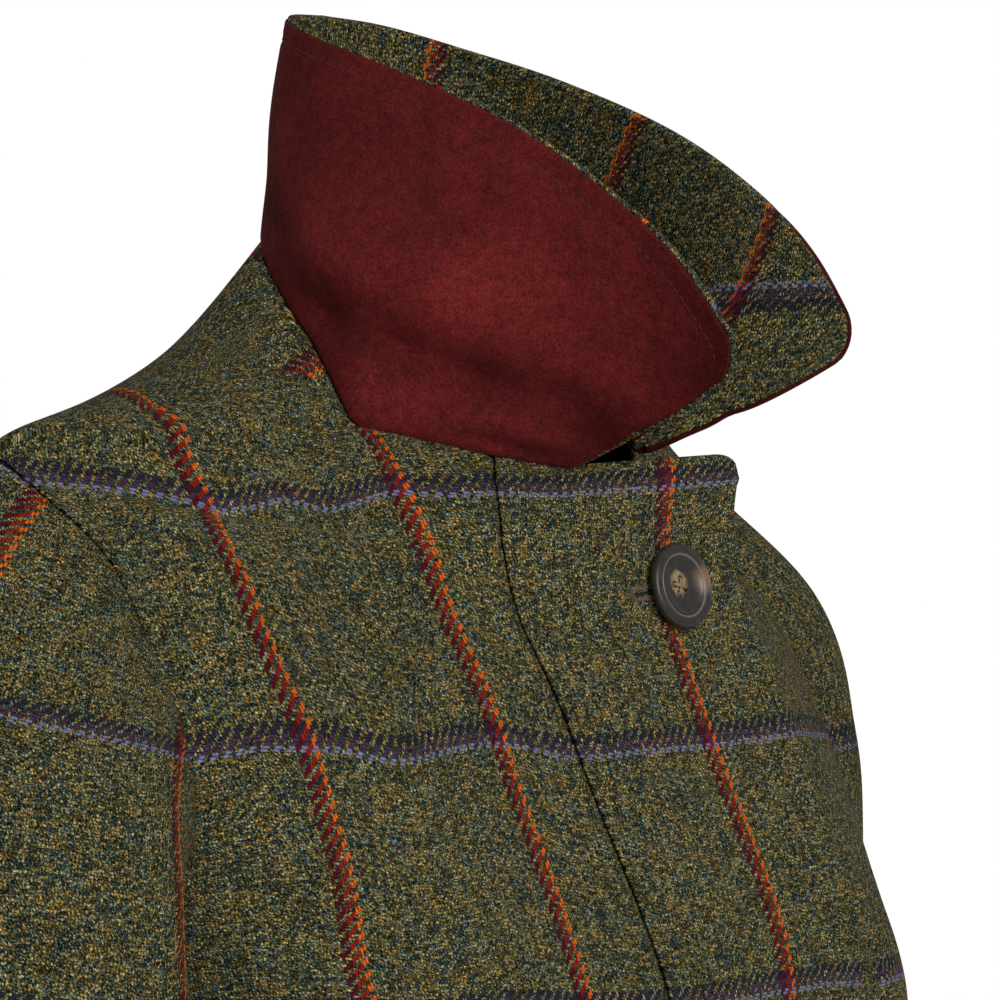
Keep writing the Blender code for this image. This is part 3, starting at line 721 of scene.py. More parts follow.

# %% [markdown]
# The under collar is a soft napped suede cloth in burgundy. Its nap lies lighter in some patches than in
# others, and has a very fine grain and a slight sheen. Light is painted on the collar's roll, and shade
# is painted in its trough and towards its ends.

# %% Burgundy suede cloth
# Painted light and shade of the collar: metres up from the neckline or from the centre back, and the
# shade there.
PAINTED_SHADING_UP = ((0.0, 0.95), (0.010, 1.15), (0.022, 0.72), (0.034, 1.05), (0.046, 1.42), (0.062, 1.20),
          (0.085, 1.0))
PAINTED_SHADING_ALONG = ((0.0, 0.90), (0.03, 0.84), (0.06, 0.95), (0.10, 1.08), (0.17, 1.06), (0.205, 0.86),
             (0.235, 0.48))
COLLAR_CENTRE = 0.25     # metres from the collar's left end to its centre back
NAP_CLOUDS = ((42.0, 4.0, 0.6), (320.0, 3.0, 0.6), (1300.0, 2.0, 0.6))    # patches, brushing, grain
BRUSHED_DEPTH, GRAIN_DEPTH = 0.30, 0.55    # how far the brushing and the grain differ in tone


def make_suede():
    finish, tree, shader = new_finish("burgundy_nap", 0.95)
    where = object_place(tree)
    patch, brushed, grain = (cloud(tree, where, *kind) for kind in NAP_CLOUDS)
    colour = dyes(tree, patch, ((0.30, srgb(72, 20, 19)), (0.70, srgb(92, 27, 26))))
    along, up = two_parts(tree, flat_place(tree, "weave"))
    from_back = calc(tree, "ABSOLUTE", calc(tree, "SUBTRACT", along, COLLAR_CENTRE))
    # Painted shade in the trough and at the ends and painted light on the roll, then the nap's brushing
    # and grain.
    painted_shading_and_nap = [(up, PAINTED_SHADING_UP), (from_back, PAINTED_SHADING_ALONG)]
    for nap, depth in ((brushed, BRUSHED_DEPTH), (grain, GRAIN_DEPTH)):
        painted_shading_and_nap.append((nap, ((0.25, 1.0 - depth), (0.75, 1.0 + depth))))
    for place, stops in painted_shading_and_nap:
        shade = dyes(tree, place, [(at, grey(light)) for at, light in stops])
        colour = blend(tree, 1.0, colour, shade, "MULTIPLY")
    put(tree, shader.inputs["Base Color"], colour)
    raise_grain(tree, shader, grain, 0.25, 0.0003)
    shader.inputs["Specular IOR Level"].default_value = 0.1
    shader.inputs["Sheen Weight"].default_value = 0.05
    shader.inputs["Sheen Roughness"].default_value = 0.5
    shader.inputs["Sheen Tint"].default_value = srgb(190, 60, 60)
    return finish


SUEDE = make_suede()
print("finishes:", [mat.name for mat in bpy.data.materials if mat.users])

# %% [markdown]
# The fronts. Each has a centre piece with the buttons and a side piece, joined by a princess seam that
# starts at the neckline. Soft hollows and ridges are placed as the cloth shows them, and fade out at
# the lap.

# %% Folds of the body
# Columns: place across, height of one end; place across, height of the other; half width; depth.
FRONT_FOLDS = (
    (-131, -70, -139, -108, 9, -1.3),
    (-101, -72, -113, -150, 12, -1.2),
    (-116, -72, -126, -130, 8, 0.8),
    (-176, -110, -132, -152, 12, -1.6),
    (-181, -160, -120, -232, 16, -2.2),
    (-160, -205, -112, -262, 15, 1.6),
    (-62, -262, -110, -330, 20, 1.8),
    (-118, -360, -128, -430, 15, -2.4),
    (-70, -372, -150, -405, 12, -2.0),
    (-96, -440, -118, -660, 22, 3.6),
    (-150, -470, -166, -660, 20, -3.2),
    (-196, -450, -206, -660, 18, 3.0),
)
BACK_FOLDS = (
    (-40, -120, -110, -160, 18, 1.6),
    (-150, -120, -112, -190, 16, -2.0),
    (-150, -190, -96, -250, 14, -1.8),
    (-20, -372, -120, -360, 11, -2.6),
    (-30, -402, -126, -408, 11, 2.0),
    (-60, -430, -76, -655, 22, 3.2),
    (-128, -440, -150, -655, 22, -3.4),
    (-188, -440, -200, -655, 18, 2.6),
)
LAP_CLEAR = (44.0, 66.0)     # folds fade out between these, so that the fronts lie flat on each other
SIDE_SOFT = 0.3              # rings over which the side line changes from one kind of edge to the next


def near_line(points, start, end):
    """Distance of points from a straight line between two ends."""
    line = end - start
    share = np.clip(((points - start) @ line) / (line @ line), 0.0, 1.0)
    return np.linalg.norm(points - start - share[..., None] * line, axis=-1)


def fold_height(places, folds):
    """Height of the folds at flat places, as soft troughs and ridges along short lines."""
    total = np.zeros(places.shape[:-1])
    for fold in np.array(folds, dtype=float):
        total += fold[5] * np.exp(-((near_line(places, fold[:2], fold[2:4]) / fold[4]) ** 2))
    return total


def hang(node, points, cloth):
    """Lays a tweed panel, gives it its wall and hands it over."""
    sheet = lay_sheet("cloth_" + node, points, cloth, TWEED)
    give_wall(sheet, WALL)
    declare(sheet, node)


def body_points(surface, across, rings, folds, mirror, clear, left_roll, right_roll):
    """Points of a body panel with columns to the right seen from outside, folds and rolled edges."""
    points = surface(across, rings)
    out = grid_out(points)
    width, height = run_length(points, 1), run_length(points, 0)
    x, z = points[..., 0] * mirror, points[..., 2]
    fade = ease((np.abs(x) - clear[0]) / (clear[1] - clear[0]))
    shift = fade * fold_height(np.stack((x, z), axis=-1), folds)
    arm, over = ease((rings - PIT) / SIDE_SOFT), ease((rings - TIP) / SIDE_SOFT)
    for distance, edge in ((width, left_roll), (width[:, -1:] - width, right_roll)):
        dip = roll(distance, edge)
        if edge is SIDE:
            dip = (1.0 - arm) * dip + (arm - over) * roll(distance, PROUD)
            dip = dip + over * roll(distance, SHOULDER)
        shift = shift + dip
    shift = shift + roll(height, TURNED) + roll(height[-1:] - height, TURNED)
    return points + shift[..., None] * out


def panel_angles(start, stop, share, side):
    """Angles of a panel's columns, to the right as seen from outside, and the rings of its rows."""
    angle = side * (start[:, None] + share * (stop - start)[:, None])
    return angle[:, ::-1] if side > 0 else angle, np.repeat(BODY_ROWS[:, None], len(share), axis=1)


# %% Right and left fronts
FRONT_RING, FRONT_RINGS = 6.4, 0.8    # rings between which the two ways of measuring change over
CENTRE_STEP, SIDE_STEP = 2.6, 3.0     # mm from column to column
SIDE_WIDTH = 130.0                    # usual width of a side front
CORNER_RADIUS, CORNER_RINGS = 7.0, 2.0    # the rounded top corner, and the rings that it draws down


def corner_drop(from_edge):
    """How far a rounded top corner falls at a distance from the front edge."""
    gap = np.clip(CORNER_RADIUS - from_edge, 0.0, CORNER_RADIUS)
    return CORNER_RADIUS - np.sqrt(CORNER_RADIUS**2 - gap**2)


def centre_front(word, surface, side):
    width = LAP + PRINCESS_OUT[-1]
    share = edge_shares(width, CENTRE_STEP)
    rings = np.repeat(BODY_ROWS[:, None], len(share), axis=1)
    seam = per_ring(PRINCESS_OUT, rings) - 0.5 * SEAM
    out = -LAP + share * (seam + LAP)
    ring_height = np.linalg.norm(surface(0.0, NECK) - surface(0.0, NECK - 1.0))
    drawn = ease((rings - NECK + CORNER_RINGS) / CORNER_RINGS)
    rings = rings - corner_drop(share * width) / ring_height * drawn
    across = side * out
    if side > 0:
        across, rings = across[:, ::-1], rings[:, ::-1]
    rolls = (PROUD, TURNED) if side > 0 else (TURNED, PROUD)
    points = body_points(surface, across, rings, FRONT_FOLDS, side, LAP_CLEAR, *rolls)
    cloth = np.stack((across_cloth(points, STRIPE_Z, [(side * v, c) for v, c in FRONT_WARP[:1]], side),
                      along_cloth(points, FRONT_WEFT, side)), axis=-1)
    hang("front_" + word + "_centre", points, cloth)
    return points


def side_front(word, side):
    start = np.abs(angle_at(side * (per_ring(PRINCESS_OUT, BODY_ROWS) + 0.5 * SEAM), BODY_ROWS))
    stop = seam_angle(side_angle(BODY_ROWS, -ARM_FRONT), BODY_ROWS, -SIDE_PULL)
    angle, rings = panel_angles(start, stop, edge_shares(SIDE_WIDTH, SIDE_STEP), side)
    rolls = (SIDE, TUCKED) if side > 0 else (TUCKED, SIDE)
    points = body_points(body, angle, rings, FRONT_FOLDS, side, LAP_CLEAR, *rolls)
    heights, warp, weft = LEFT_Z, LEFT_WARP, LEFT_WEFT
    if side > 0:
        heights, warp, weft = STRIPE_Z, FRONT_WARP[1:], FRONT_WEFT
    across = across_cloth(points, heights, [(side * v, c) for v, c in warp], side)
    share = ease((rings - FRONT_RING) / FRONT_RINGS)
    across = (1.0 - share) * across - share * side * over_shoulder(points, FRONT_FIRST)
    hang("front_" + word + "_side", points, np.stack((across, along_cloth(points, weft, side)), axis=-1))


lap_points = centre_front("right", right_front, 1.0)
centre_front("left", left_front, -1.0)
side_front("right", 1.0)
side_front("left", -1.0)

# %% [markdown]
# The back is cut in two halves with a centre back seam, and hangs from the shoulder seams.

# %% Backs
BACK_LOW = 30.0          # cloth measure at the centre back, lower down
# Beside the neck the cloth is drawn round: how far out and how far back that reaches, and fades over.
TURN_OUT, TURN_OUT_SPAN, TURN_BACK, TURN_BACK_SPAN = 108.0, 14.0, 16.0, 14.0
TURN_STRIPE_Y, TURN_ALONG = -7.0, 104.0    # where its stripe lies, and where its weft is counted from
BACK_RING, BACK_RINGS = 5.2, 1.6    # rings between which the two ways of measuring change over
# The shoulder blade as a round: its middle, its depth and height, and the cloth measure at its foot.
BLADE_Y, BLADE_Z, BLADE_DEEP, BLADE_HIGH, BLADE_FOOT = 10.0, -150.0, 118.0, 125.0, 231.0
BACK_WIDTH, BACK_STEP = 200.0, 3.6    # usual width of a half back, and mm from column to column
SPINE_CLEAR = (6.0, 24.0)             # folds fade out between these, towards the centre back seam


def back_cloth(points, side):
    """Flat cloth of a half back: it runs on from the front over the shoulder and down."""
    out, y, z = np.abs(points[..., 0]), points[..., 1], points[..., 2]
    turned = ease((TURN_OUT - out) / TURN_OUT_SPAN) * ease((TURN_BACK - y) / TURN_BACK_SPAN)
    over = (1.0 - turned) * over_shoulder(points, BACK_FIRST) + turned * (REPEAT + y - TURN_STRIPE_Y)
    width = run_length(points, 1)
    low = BACK_LOW + (width if side > 0 else width[:, -1:] - width)
    share = ease((BODY_ROWS[:, None] - BACK_RING) / BACK_RINGS)
    across = -side * ((1.0 - share) * low + share * over)
    turn = np.linspace(0.0, np.pi, 181)
    blade = np.stack((BLADE_DEEP * np.cos(turn), BLADE_HIGH * np.sin(turn)), axis=-1)
    walked = run_length(blade[:, None], 0)[:, 0]
    upper = BLADE_FOOT - np.interp(np.arctan2(z - BLADE_Z, y - BLADE_Y),
                                   np.arctan2(blade[:, 1], blade[:, 0]), walked)
    height = run_length(points, 0)
    foot = np.array([crossing(height[:, c], z[:, c] - BLADE_Z) for c in range(points.shape[1])])
    along = np.where(z < BLADE_Z, BLADE_FOOT + foot - height, upper)
    return np.stack((across, (1.0 - turned) * along + turned * (TURN_ALONG - out)), axis=-1)


def half_back(word, side):
    start = seam_angle(side_angle(BODY_ROWS, ARM_BACK), BODY_ROWS, SIDE_PULL)
    stop = seam_angle(np.full(len(BODY_ROWS), math.pi), BODY_ROWS, -1.0)
    angle, rings = panel_angles(start, stop, edge_shares(BACK_WIDTH, BACK_STEP), side)
    rolls = (SEWN, SIDE) if side > 0 else (SIDE, SEWN)
    points = body_points(body, angle, rings, BACK_FOLDS, side, SPINE_CLEAR, *rolls)
    hang("back_" + word, points, back_cloth(points, side))


half_back("right", 1.0)
half_back("left", -1.0)

# %% [markdown]
# A set-in sleeve starts under the armhole's edge, swells over the shoulder tip and then turns down to the
# arm's rings. Each line of it is one smooth curve from the armhole to the upper arm. Two seams part the
# top sleeve from the under sleeve, and creases lie where an arm would bend.

# %% Rings and creases of the sleeves
# Columns: out, forward, up of the centre; radius across; radius front to back; rise of the outer side.
SLEEVE = (
    (249, 20, -236, 52, 62, 6),     # upper arm
    (258, 21, -330, 49, 58, 3),     # above the elbow
    (266, 27, -420, 46, 53, 0),     # elbow
    (272, 46, -530, 42, 47, -3),    # forearm
    (276, 70, -628, 38, 42, -6),    # cuff
)
LEFT_SLEEVE_BACK, LEFT_CUFF_BACK = 22.0, 17.0    # how far the left arm lies back
HEAD_UNDER, HEAD_DEEP = 1.0, 2.3    # the sleeve is sewn on under the armhole's edge
# How the sleeve leaves the armhole: pull of its lines, fall at the tip, swell to front and back, for the
# right and the left, and its fall at the armpit.
CAP_PULL, HEAD_FALL, HEAD_SWELL, UNDER_FALL = (0.9, 1.1), (0.42, 0.62), (0.55, 1.3), 0.25
CAP_LENGTH = 130.0       # usual length of a sleeve line from the armhole to the upper arm
CAP_STEPS, TUBE_STEPS = 30, 95
HEAD_EDGE = np.array(EDGE_STEPS) / CAP_LENGTH
CAP_ROWS = np.concatenate((HEAD_EDGE[:-1], np.linspace(HEAD_EDGE[-1], 1.0, CAP_STEPS)))
TUBE_ROWS = np.linspace(0.0, len(SLEEVE) - 1.0, TUBE_STEPS)[1:]
SLEEVE_STRIPE = (math.radians(16.0), math.radians(45.0))    # turn of the stripe, right and left
# Creases. Columns: turn and height of one end, turn and height of the other, half width, depth.
SLEEVE_FOLDS = (
    (100, -120, 70, -190, 13, -1.6),
    (118, -150, 92, -230, 13, -1.8),
    (60, -205, 20, -255, 15, -1.4),
    (-80, -150, -40, -240, 15, -2.0),
    (-110, -190, -60, -290, 14, 1.8),
    (118, -372, 60, -352, 11, -3.0),
    (122, -402, 54, -414, 11, -3.6),
    (120, -432, 66, -470, 12, -2.8),
    (100, -388, 62, -384, 9, 1.8),
    (-60, -360, -20, -420, 20, 2.0),
    (80, -520, 20, -560, 16, -2.0),
    (-100, -500, -40, -570, 16, -2.2),
    (100, -580, 130, -620, 12, 1.6),
)
FOLD_RADIUS = 52.0       # turns are measured on a tube of this radius, from its outer side to the front
HEAD_CLEAR = 30.0        # creases fade out this far below the armhole


def armhole(side):
    """Loop of armhole points from the tip down the front, with the ways into the hole and inwards."""
    down_front, up_back = ARM_ROWS[::-1], ARM_ROWS[1:-1]
    ring = np.concatenate((down_front, up_back))
    angle = side * np.concatenate((side_angle(down_front, -ARM_FRONT), side_angle(up_back, ARM_BACK)))
    point = body(angle, ring)
    inward = unit(np.cross(body(angle + NUDGE, ring) - body(angle - NUDGE, ring),
                           body(angle, ring + NUDGE) - body(angle, ring - NUDGE)))
    run = unit(np.roll(point, -1, axis=0) - point) + unit(point - np.roll(point, 1, axis=0))
    into = unit(np.cross(run, inward))
    into = into * np.sign(np.sum(into * (np.mean(point, axis=0) - point), axis=-1, keepdims=True))
    return point, into * 2.0 / np.linalg.norm(run, axis=-1, keepdims=True), inward


def sleeve_sections(side):
    """Sections of the sleeve from the armhole to the cuff, and the turn of each of their points."""
    edge, into, inward = armhole(side)
    steps = np.linalg.norm(np.roll(edge, -1, axis=0) - edge, axis=-1)
    walked = np.concatenate(((0.0,), np.cumsum(steps)[:-1]))
    half = walked[len(ARM_ROWS) - 1]
    turn = np.pi * np.where(walked <= half, walked / half, 1.0 + (walked - half) / (steps.sum() - half))
    start = edge - HEAD_UNDER * into + HEAD_DEEP * inward
    set_back = (LEFT_SLEEVE_BACK, LEFT_CUFF_BACK) if side < 0 else (0.0, 0.0)
    pull, top_fall, swell = (pair[1 if side < 0 else 0] for pair in (CAP_PULL, HEAD_FALL, HEAD_SWELL))

    def tube(row):
        out, forward, up, across, deep, rise = table_curve(SLEEVE, np.full(len(turn), row)).T
        x = -side * (out + across * np.cos(turn))
        behind = np.interp(row, (0.0, len(SLEEVE) - 1.0), set_back)
        y = -(forward - behind + deep * np.sin(turn))
        return np.stack((x, y, up + rise * np.cos(turn)), axis=-1)

    head = tube(0.0)
    span = np.linalg.norm(head - start, axis=-1, keepdims=True)
    fall = np.where(np.cos(turn) > 0.0, top_fall, -UNDER_FALL) * np.cos(turn)
    leave = np.stack((np.full(len(turn), -side), -swell * np.sin(turn), -fall), axis=-1)
    leave = unit(leave) * span * pull
    reach = unit(tube(NUDGE) - head) * span * pull
    sections = [hermite(start, leave, head, reach, t) for t in CAP_ROWS]
    return np.array(sections + [tube(row) for row in TUBE_ROWS]), turn


# %% Top and under sleeves
# Weft stripes below the right and the left shoulder: cloth measure, height, rise outwards and backwards.
CAP_WEFT = (((-REPEAT, -196.3, 0.377, 0.0),),
            ((0.0, -84.2, -0.106, -0.061), (-REPEAT, -182.0, -0.106, -0.061)))


def sleeve_piece(word, part, side, sections, turn, columns, stripe):
    columns = columns if side > 0 else columns[::-1]
    points = sections[::-1][:, columns]
    turns = np.unwrap(turn[columns])
    out = grid_out(points)
    width, height = run_length(points, 1), run_length(points, 0)
    around = FOLD_RADIUS * (np.mod(turns + np.pi, 2.0 * np.pi) - np.pi)
    per_degree = FOLD_RADIUS * math.radians(1.0)
    folds = np.array(SLEEVE_FOLDS) * (per_degree, 1.0, per_degree, 1.0, 1.0, 1.0)
    places = np.stack((np.broadcast_to(around, height.shape), points[..., 2]), axis=-1)
    shift = fold_height(places, folds) * ease((height[-1:] - height) / HEAD_CLEAR)
    shift = shift + roll(width, SEWN) + roll(width[:, -1:] - width, SEWN) + roll(height, TURNED)
    points = points + shift[..., None] * out
    order = np.argsort(turns)
    middle = stripe + 2.0 * np.pi * np.round((turns.mean() - stripe) / (2.0 * np.pi))
    zero = np.array([np.interp(middle, turns[order], row[order]) for row in width])
    weft = CAP_WEFT[0 if side > 0 else 1]
    along = np.empty(points.shape[:2])
    for c in range(points.shape[1]):
        x, y, z = points[:, c].T
        at = [crossing(height[:, c], z - level - rise * np.abs(x) - tilt * y)
              for _, level, rise, tilt in weft]
        along[:, c] = spread(height[:, c], at, [value for value, *_ in weft])
    hang("sleeve_" + word + "_" + part, points, np.stack((width - zero[:, None], along), axis=-1))


def sleeve(word, side):
    sections, turn = sleeve_sections(side)
    count, lowest = len(turn), len(ARM_ROWS) - 1
    front = lowest - int(np.argmin(np.abs(ARM_ROWS - PIT - UNDER_FRONT * (TIP - PIT))))
    back = lowest + int(np.argmin(np.abs(ARM_ROWS - PIT - UNDER_BACK * (TIP - PIT))))
    sleeve_piece(word, "under", side, sections, turn, np.arange(front, back + 1), math.pi)
    sleeve_piece(word, "top", side, sections, turn, np.arange(back, front + count + 1) % count,
                 SLEEVE_STRIPE[0 if side > 0 else 1])


sleeve("right", 1.0)
sleeve("left", -1.0)

# %% [markdown]
# The collar stands turned up. It has two layers, burgundy suede cloth outside and tweed inside, which are
# sewn round the edge and turned. Both layers lie on one middle leaf between the neckline and the outer
# edge. A narrow roll carries each of them round the edge to the seam, where the tweed shows from outside
# as a thin rim.

# %% The middle leaf of the collar
# Columns: neckline angle below; out, forward, up of the outer edge; bow of the leaf.
COLLAR = (
    (14.9, 45, 141, -22, 0.0),     # end of the leaf
    (21, 49, 121, 7, 1.5),
    (34, 52, 97, 28, 3.0),
    (52, 53, 66, 47, 4.0),
    (76, 52, 24, 64, 4.0),         # side of the neck
    (106, 44, -13, 76, 3.0),
    (142, 27, -32, 83, 2.0),
    (180, 0, -38, 85, 2.0),        # centre back
)
BACK_ROW = len(COLLAR) - 1.0
COLLAR_DROP = 0.8                            # mm that the leaf's base lies below the neckline
COLLAR_BELLY, BELLY_SPAN = 3.0, 1.6          # how far the end curves forward, and over how many rows
COLLAR_END_SPAN, COLLAR_END_TRIM = 0.34, 0.14      # the end's upper corner is rounded
COLLAR_HEEL_SPAN, COLLAR_HEEL_TRIM = 0.17, 0.07    # and its lower one too
END_ROWS = (0.0, 0.01, 0.028, 0.055, 0.09, 0.13, 0.18, 0.24)
COLLAR_ROWS = np.concatenate((END_ROWS, np.linspace(0.3, BACK_ROW, 84)))
COLLAR_DEEP, COLLAR_STEP = 95.0, 2.3         # usual depth of the leaf, and mm from row to row
COLLAR_HALF = 1.85       # half the thickness of the two layers
DRAW_IN = 12.0           # mm over which the leaf is drawn in to make room for the rolled edge
# Folds of the leaf. Columns: row and depth of one end, row and depth of the other, half width, depth.
COLLAR_FOLDS = (
    (4.75, 0.20, 3.3, 0.25, 9, -4.0),
    (3.3, 0.25, 2.35, 0.23, 9, -4.2),
    (2.35, 0.23, 1.35, 0.26, 8, -2.8),
    (4.6, 0.38, 3.45, 0.47, 13, 3.2),
    (3.45, 0.47, 2.5, 0.50, 13, 2.6),
    (2.2, 0.12, 1.1, 0.13, 5, 1.8),
    (1.9, 0.06, 0.8, 0.05, 4, -1.2),
    (1.2, 0.30, 0.5, 0.25, 9, -1.8),
    (5.6, 0.25, 6.4, 0.35, 12, -1.4),
)


def leaf(row, depth, side):
    """Middle of the collar: row of the table, and depth from the neckline to the outer edge."""
    row, depth = np.broadcast_arrays(np.asarray(row, float), np.asarray(depth, float))
    angle, out, forward, up, bow = np.moveaxis(table_curve(COLLAR, row), -1, 0)
    angle = np.radians(angle)
    base = body(side * angle, NECK)
    edge = np.stack((-side * out, -forward, up), axis=-1)
    away = np.stack((-side * np.sin(angle), -np.cos(angle), 0.0 * angle), axis=-1)
    span = np.linalg.norm(edge - base, axis=-1, keepdims=True)
    depth = (1.0 + COLLAR_DROP / span) * depth[..., None] - COLLAR_DROP / span
    hump = 4.0 * depth * (1.0 - depth)
    fade = np.clip(1.0 - row / BELLY_SPAN, 0.0, 1.0)[..., None] ** 2
    tip, next_row = np.array(COLLAR[0][1:4]), np.array(COLLAR[1][1:4])
    ahead = unit(tip - next_row) * np.array((-side, -1.0, 1.0))
    return base + (edge - base) * depth + hump * (away * bow[..., None] + COLLAR_BELLY * fade * ahead)


def rounded(span, trim):
    """How much a corner at the end of the leaf is trimmed in each column."""
    left_over = np.clip(1.0 - COLLAR_ROWS / span, 0.0, 1.0)
    return trim * (1.0 - np.sqrt(1.0 - left_over**2))


def collar_middle():
    """Grid of the middle leaf, with columns from the left end round the back to the right end."""
    top = 1.0 - rounded(COLLAR_END_SPAN, COLLAR_END_TRIM)
    heel = rounded(COLLAR_HEEL_SPAN, COLLAR_HEEL_TRIM)
    depth = heel + edge_shares(COLLAR_DEEP, COLLAR_STEP)[:, None] * (top - heel)
    halves = []
    for side in (-1.0, 1.0):
        half = leaf(COLLAR_ROWS, depth, side)
        fold = np.zeros(half.shape[:2])
        for r0, d0, r1, d1, wide, deep in COLLAR_FOLDS:
            away = near_line(half, leaf(r0, d0, side), leaf(r1, d1, side))
            fold += deep * np.exp(-((away / wide) ** 2))
        halves.append((half, fold))
    points = np.concatenate((halves[0][0], halves[1][0][:, -2::-1]), axis=1)
    fold = np.concatenate((halves[0][1], halves[1][1][:, -2::-1]), axis=1)
    points = points + fold[..., None] * grid_out(points)
    across, up = unit(np.gradient(points, axis=1)), unit(np.gradient(points, axis=0))
    width, height = run_length(points, 1), run_length(points, 0)
    from_left, from_right, from_top = width, width[:, -1:] - width, height[-1:] - height
    drawn = COLLAR_HALF * (np.exp(-from_left / DRAW_IN) - np.exp(-from_right / DRAW_IN))
    lowered = COLLAR_HALF * np.exp(-from_top / DRAW_IN)
    return points + drawn[..., None] * across - lowered[..., None] * up


leaf_points = collar_middle()
leaf_out = grid_out(leaf_points)
# Stations along the collar, from 14 at its left end to 0 at its right end.
LEAF_STATION = np.concatenate((2.0 * BACK_ROW - COLLAR_ROWS, COLLAR_ROWS[-2::-1]))
collar_width, collar_height = run_length(leaf_points, 1), run_length(leaf_points, 0)
print("collar grid:", leaf_points.shape[:2], "edge length:", round(float(collar_width[-1, -1])), "mm")

# %% The two collar layers with their rolled edge
ROLL_STEPS = 9
# Where the edge seam lies on the roll, and the station and span in which it passes from one to the other.
SEAM_OUTSIDE, SEAM_INSIDE = math.radians(62.0), math.radians(-48.0)
SEAM_PASSES, SEAM_PASS_SPAN = 13.2, 1.4
COLLAR_WALL = 1.25
SAME_PLACE = 1e-5        # metres within which two points are joined into one
STITCH_IN = 6.2          # mm from the edge to the stitch line
SEAM_DIP, STITCH_DIP = (0.5, 0.55), (0.5, 1.1)    # depth and width of their hollows
# Stripes of the tweed inside: station at the outer edge, and how it moves towards the neckline.
COLLAR_WARP = ((0.0, 8.79, -1.6), (-REPEAT, 10.75, -0.9), (-2 * REPEAT, 12.39, 0.85))
COLLAR_WEFT_AT, COLLAR_WEFT_UP = (46.5, -96.4, -6.0), (0.08, 0.046, 0.754)    # a place on its weft stripe


def edge_path(values, inside=0):
    """Values along the leaf's edge, or one step inside it: up the left end, along and down the right."""
    last = -1 - inside
    return np.concatenate((values[:-1, inside], values[last], values[-2::-1, last]))


def collar_layer(name, points, cloth, turn_from, seam, finish):
    """Face of one layer and the roll that carries it round the edge, as one sheet."""
    order = slice(None) if turn_from > 0 else slice(None, None, -1)
    face = lay_sheet(name, points[:, order], cloth[:, order], finish)
    rim, out = edge_path(leaf_points), edge_path(leaf_out)
    tangent = unit(np.gradient(rim, axis=0))
    ahead = unit(np.cross(tangent, out))
    outwards = rim - edge_path(leaf_points, 1)
    ahead = ahead * np.sign(np.sum(ahead * outwards, axis=-1, keepdims=True))
    cloth_rim = edge_path(cloth)
    grain = unit(cloth_rim - edge_path(cloth, 1))
    share = np.linspace(0.0, 1.0, ROLL_STEPS + 1)[:, None]
    turn = turn_from + (seam - turn_from) * share
    radius = COLLAR_HALF + roll((turn - seam) * COLLAR_HALF, SEAM_DIP)
    strip = rim + radius[..., None] * (np.cos(turn)[..., None] * ahead + np.sin(turn)[..., None] * out)
    flat = cloth_rim + (np.abs(turn - turn_from) * COLLAR_HALF)[..., None] * grain
    edge = lay_sheet(name + "_roll", strip[:, order], flat[:, order], finish)
    join_all((face, edge))
    open_all()
    bpy.ops.mesh.remove_doubles(threshold=SAME_PLACE)
    bpy.ops.object.mode_set(mode="OBJECT")
    give_wall(face, COLLAR_WALL)
    return face


from_top, from_right = collar_height[-1:] - collar_height, collar_width[:, -1:] - collar_width
from_rim = np.minimum(from_top, np.minimum(collar_width, from_right))
rim_station = edge_path(np.repeat(LEAF_STATION[None], len(leaf_points), axis=0))
passed = ease((SEAM_PASSES - rim_station) / SEAM_PASS_SPAN)
seam_turn = SEAM_INSIDE + (SEAM_OUTSIDE - SEAM_INSIDE) * passed

stitch_dip, neck_dip = roll(from_rim - STITCH_IN, STITCH_DIP), roll(collar_height, TURNED)
suede_points = leaf_points + (COLLAR_HALF + stitch_dip + neck_dip)[..., None] * leaf_out
suede_cloth = np.stack((collar_width, collar_height), axis=-1)
tweed_points = leaf_points - (COLLAR_HALF + neck_dip)[..., None] * leaf_out

tweed_cloth = np.empty(leaf_points.shape[:2] + (2,))
for r in range(len(leaf_points)):
    depth_left = float(np.median(from_top[r] / collar_height[-1]))
    at = [np.interp(place + drift * depth_left, LEAF_STATION[::-1], from_right[r, ::-1])
          for _, place, drift in COLLAR_WARP]
    tweed_cloth[r, :, 0] = spread(from_right[r], at, [value for value, _, _ in COLLAR_WARP])
one_half = leaf_points.copy()
one_half[..., 0] = np.abs(one_half[..., 0])
tweed_cloth[..., 1] = -(one_half - COLLAR_WEFT_AT) @ np.array(COLLAR_WEFT_UP)

under = collar_layer("cloth_collar_under", suede_points, suede_cloth, math.pi / 2, seam_turn, SUEDE)
declare(under, "collar_under")
upper = collar_layer("cloth_collar_upper", tweed_points, tweed_cloth, -math.pi / 2, seam_turn, TWEED)
declare(upper, "collar_upper")

# %% [markdown]
# A row of stitches holds the collar's edge flat. One stitch is a small stretched ball. It is modelled
# once, and each copy is turned and set down along a line. All the copies of a line are joined.

# %% Thread, and rows of stitches


def make_thread(name, dark, light, rough):
    finish, tree, shader = new_finish(name, rough)
    twist = cloud(tree, object_place(tree), 2600.0, 1.0)
    put(tree, shader.inputs["Base Color"], dyes(tree, twist, ((0.35, dark), (0.65, light))))
    raise_grain(tree, shader, twist, 0.4, 0.0002)
    return finish


RED_THREAD = make_thread("burgundy_thread", srgb(58, 16, 15), srgb(78, 23, 22), 0.8)
TAN_THREAD = make_thread("brown_thread", srgb(52, 42, 32), srgb(118, 98, 78), 0.7)
# Near black thread that paints the shade inside the buttonhole slits.
SLIT_SHADE_THREAD = make_thread("slit_shade_thread", srgb(12, 10, 9), srgb(26, 22, 18), 0.9)
SEWING_THREAD = make_thread("grey_thread", srgb(84, 70, 52), srgb(160, 138, 104), 0.6)


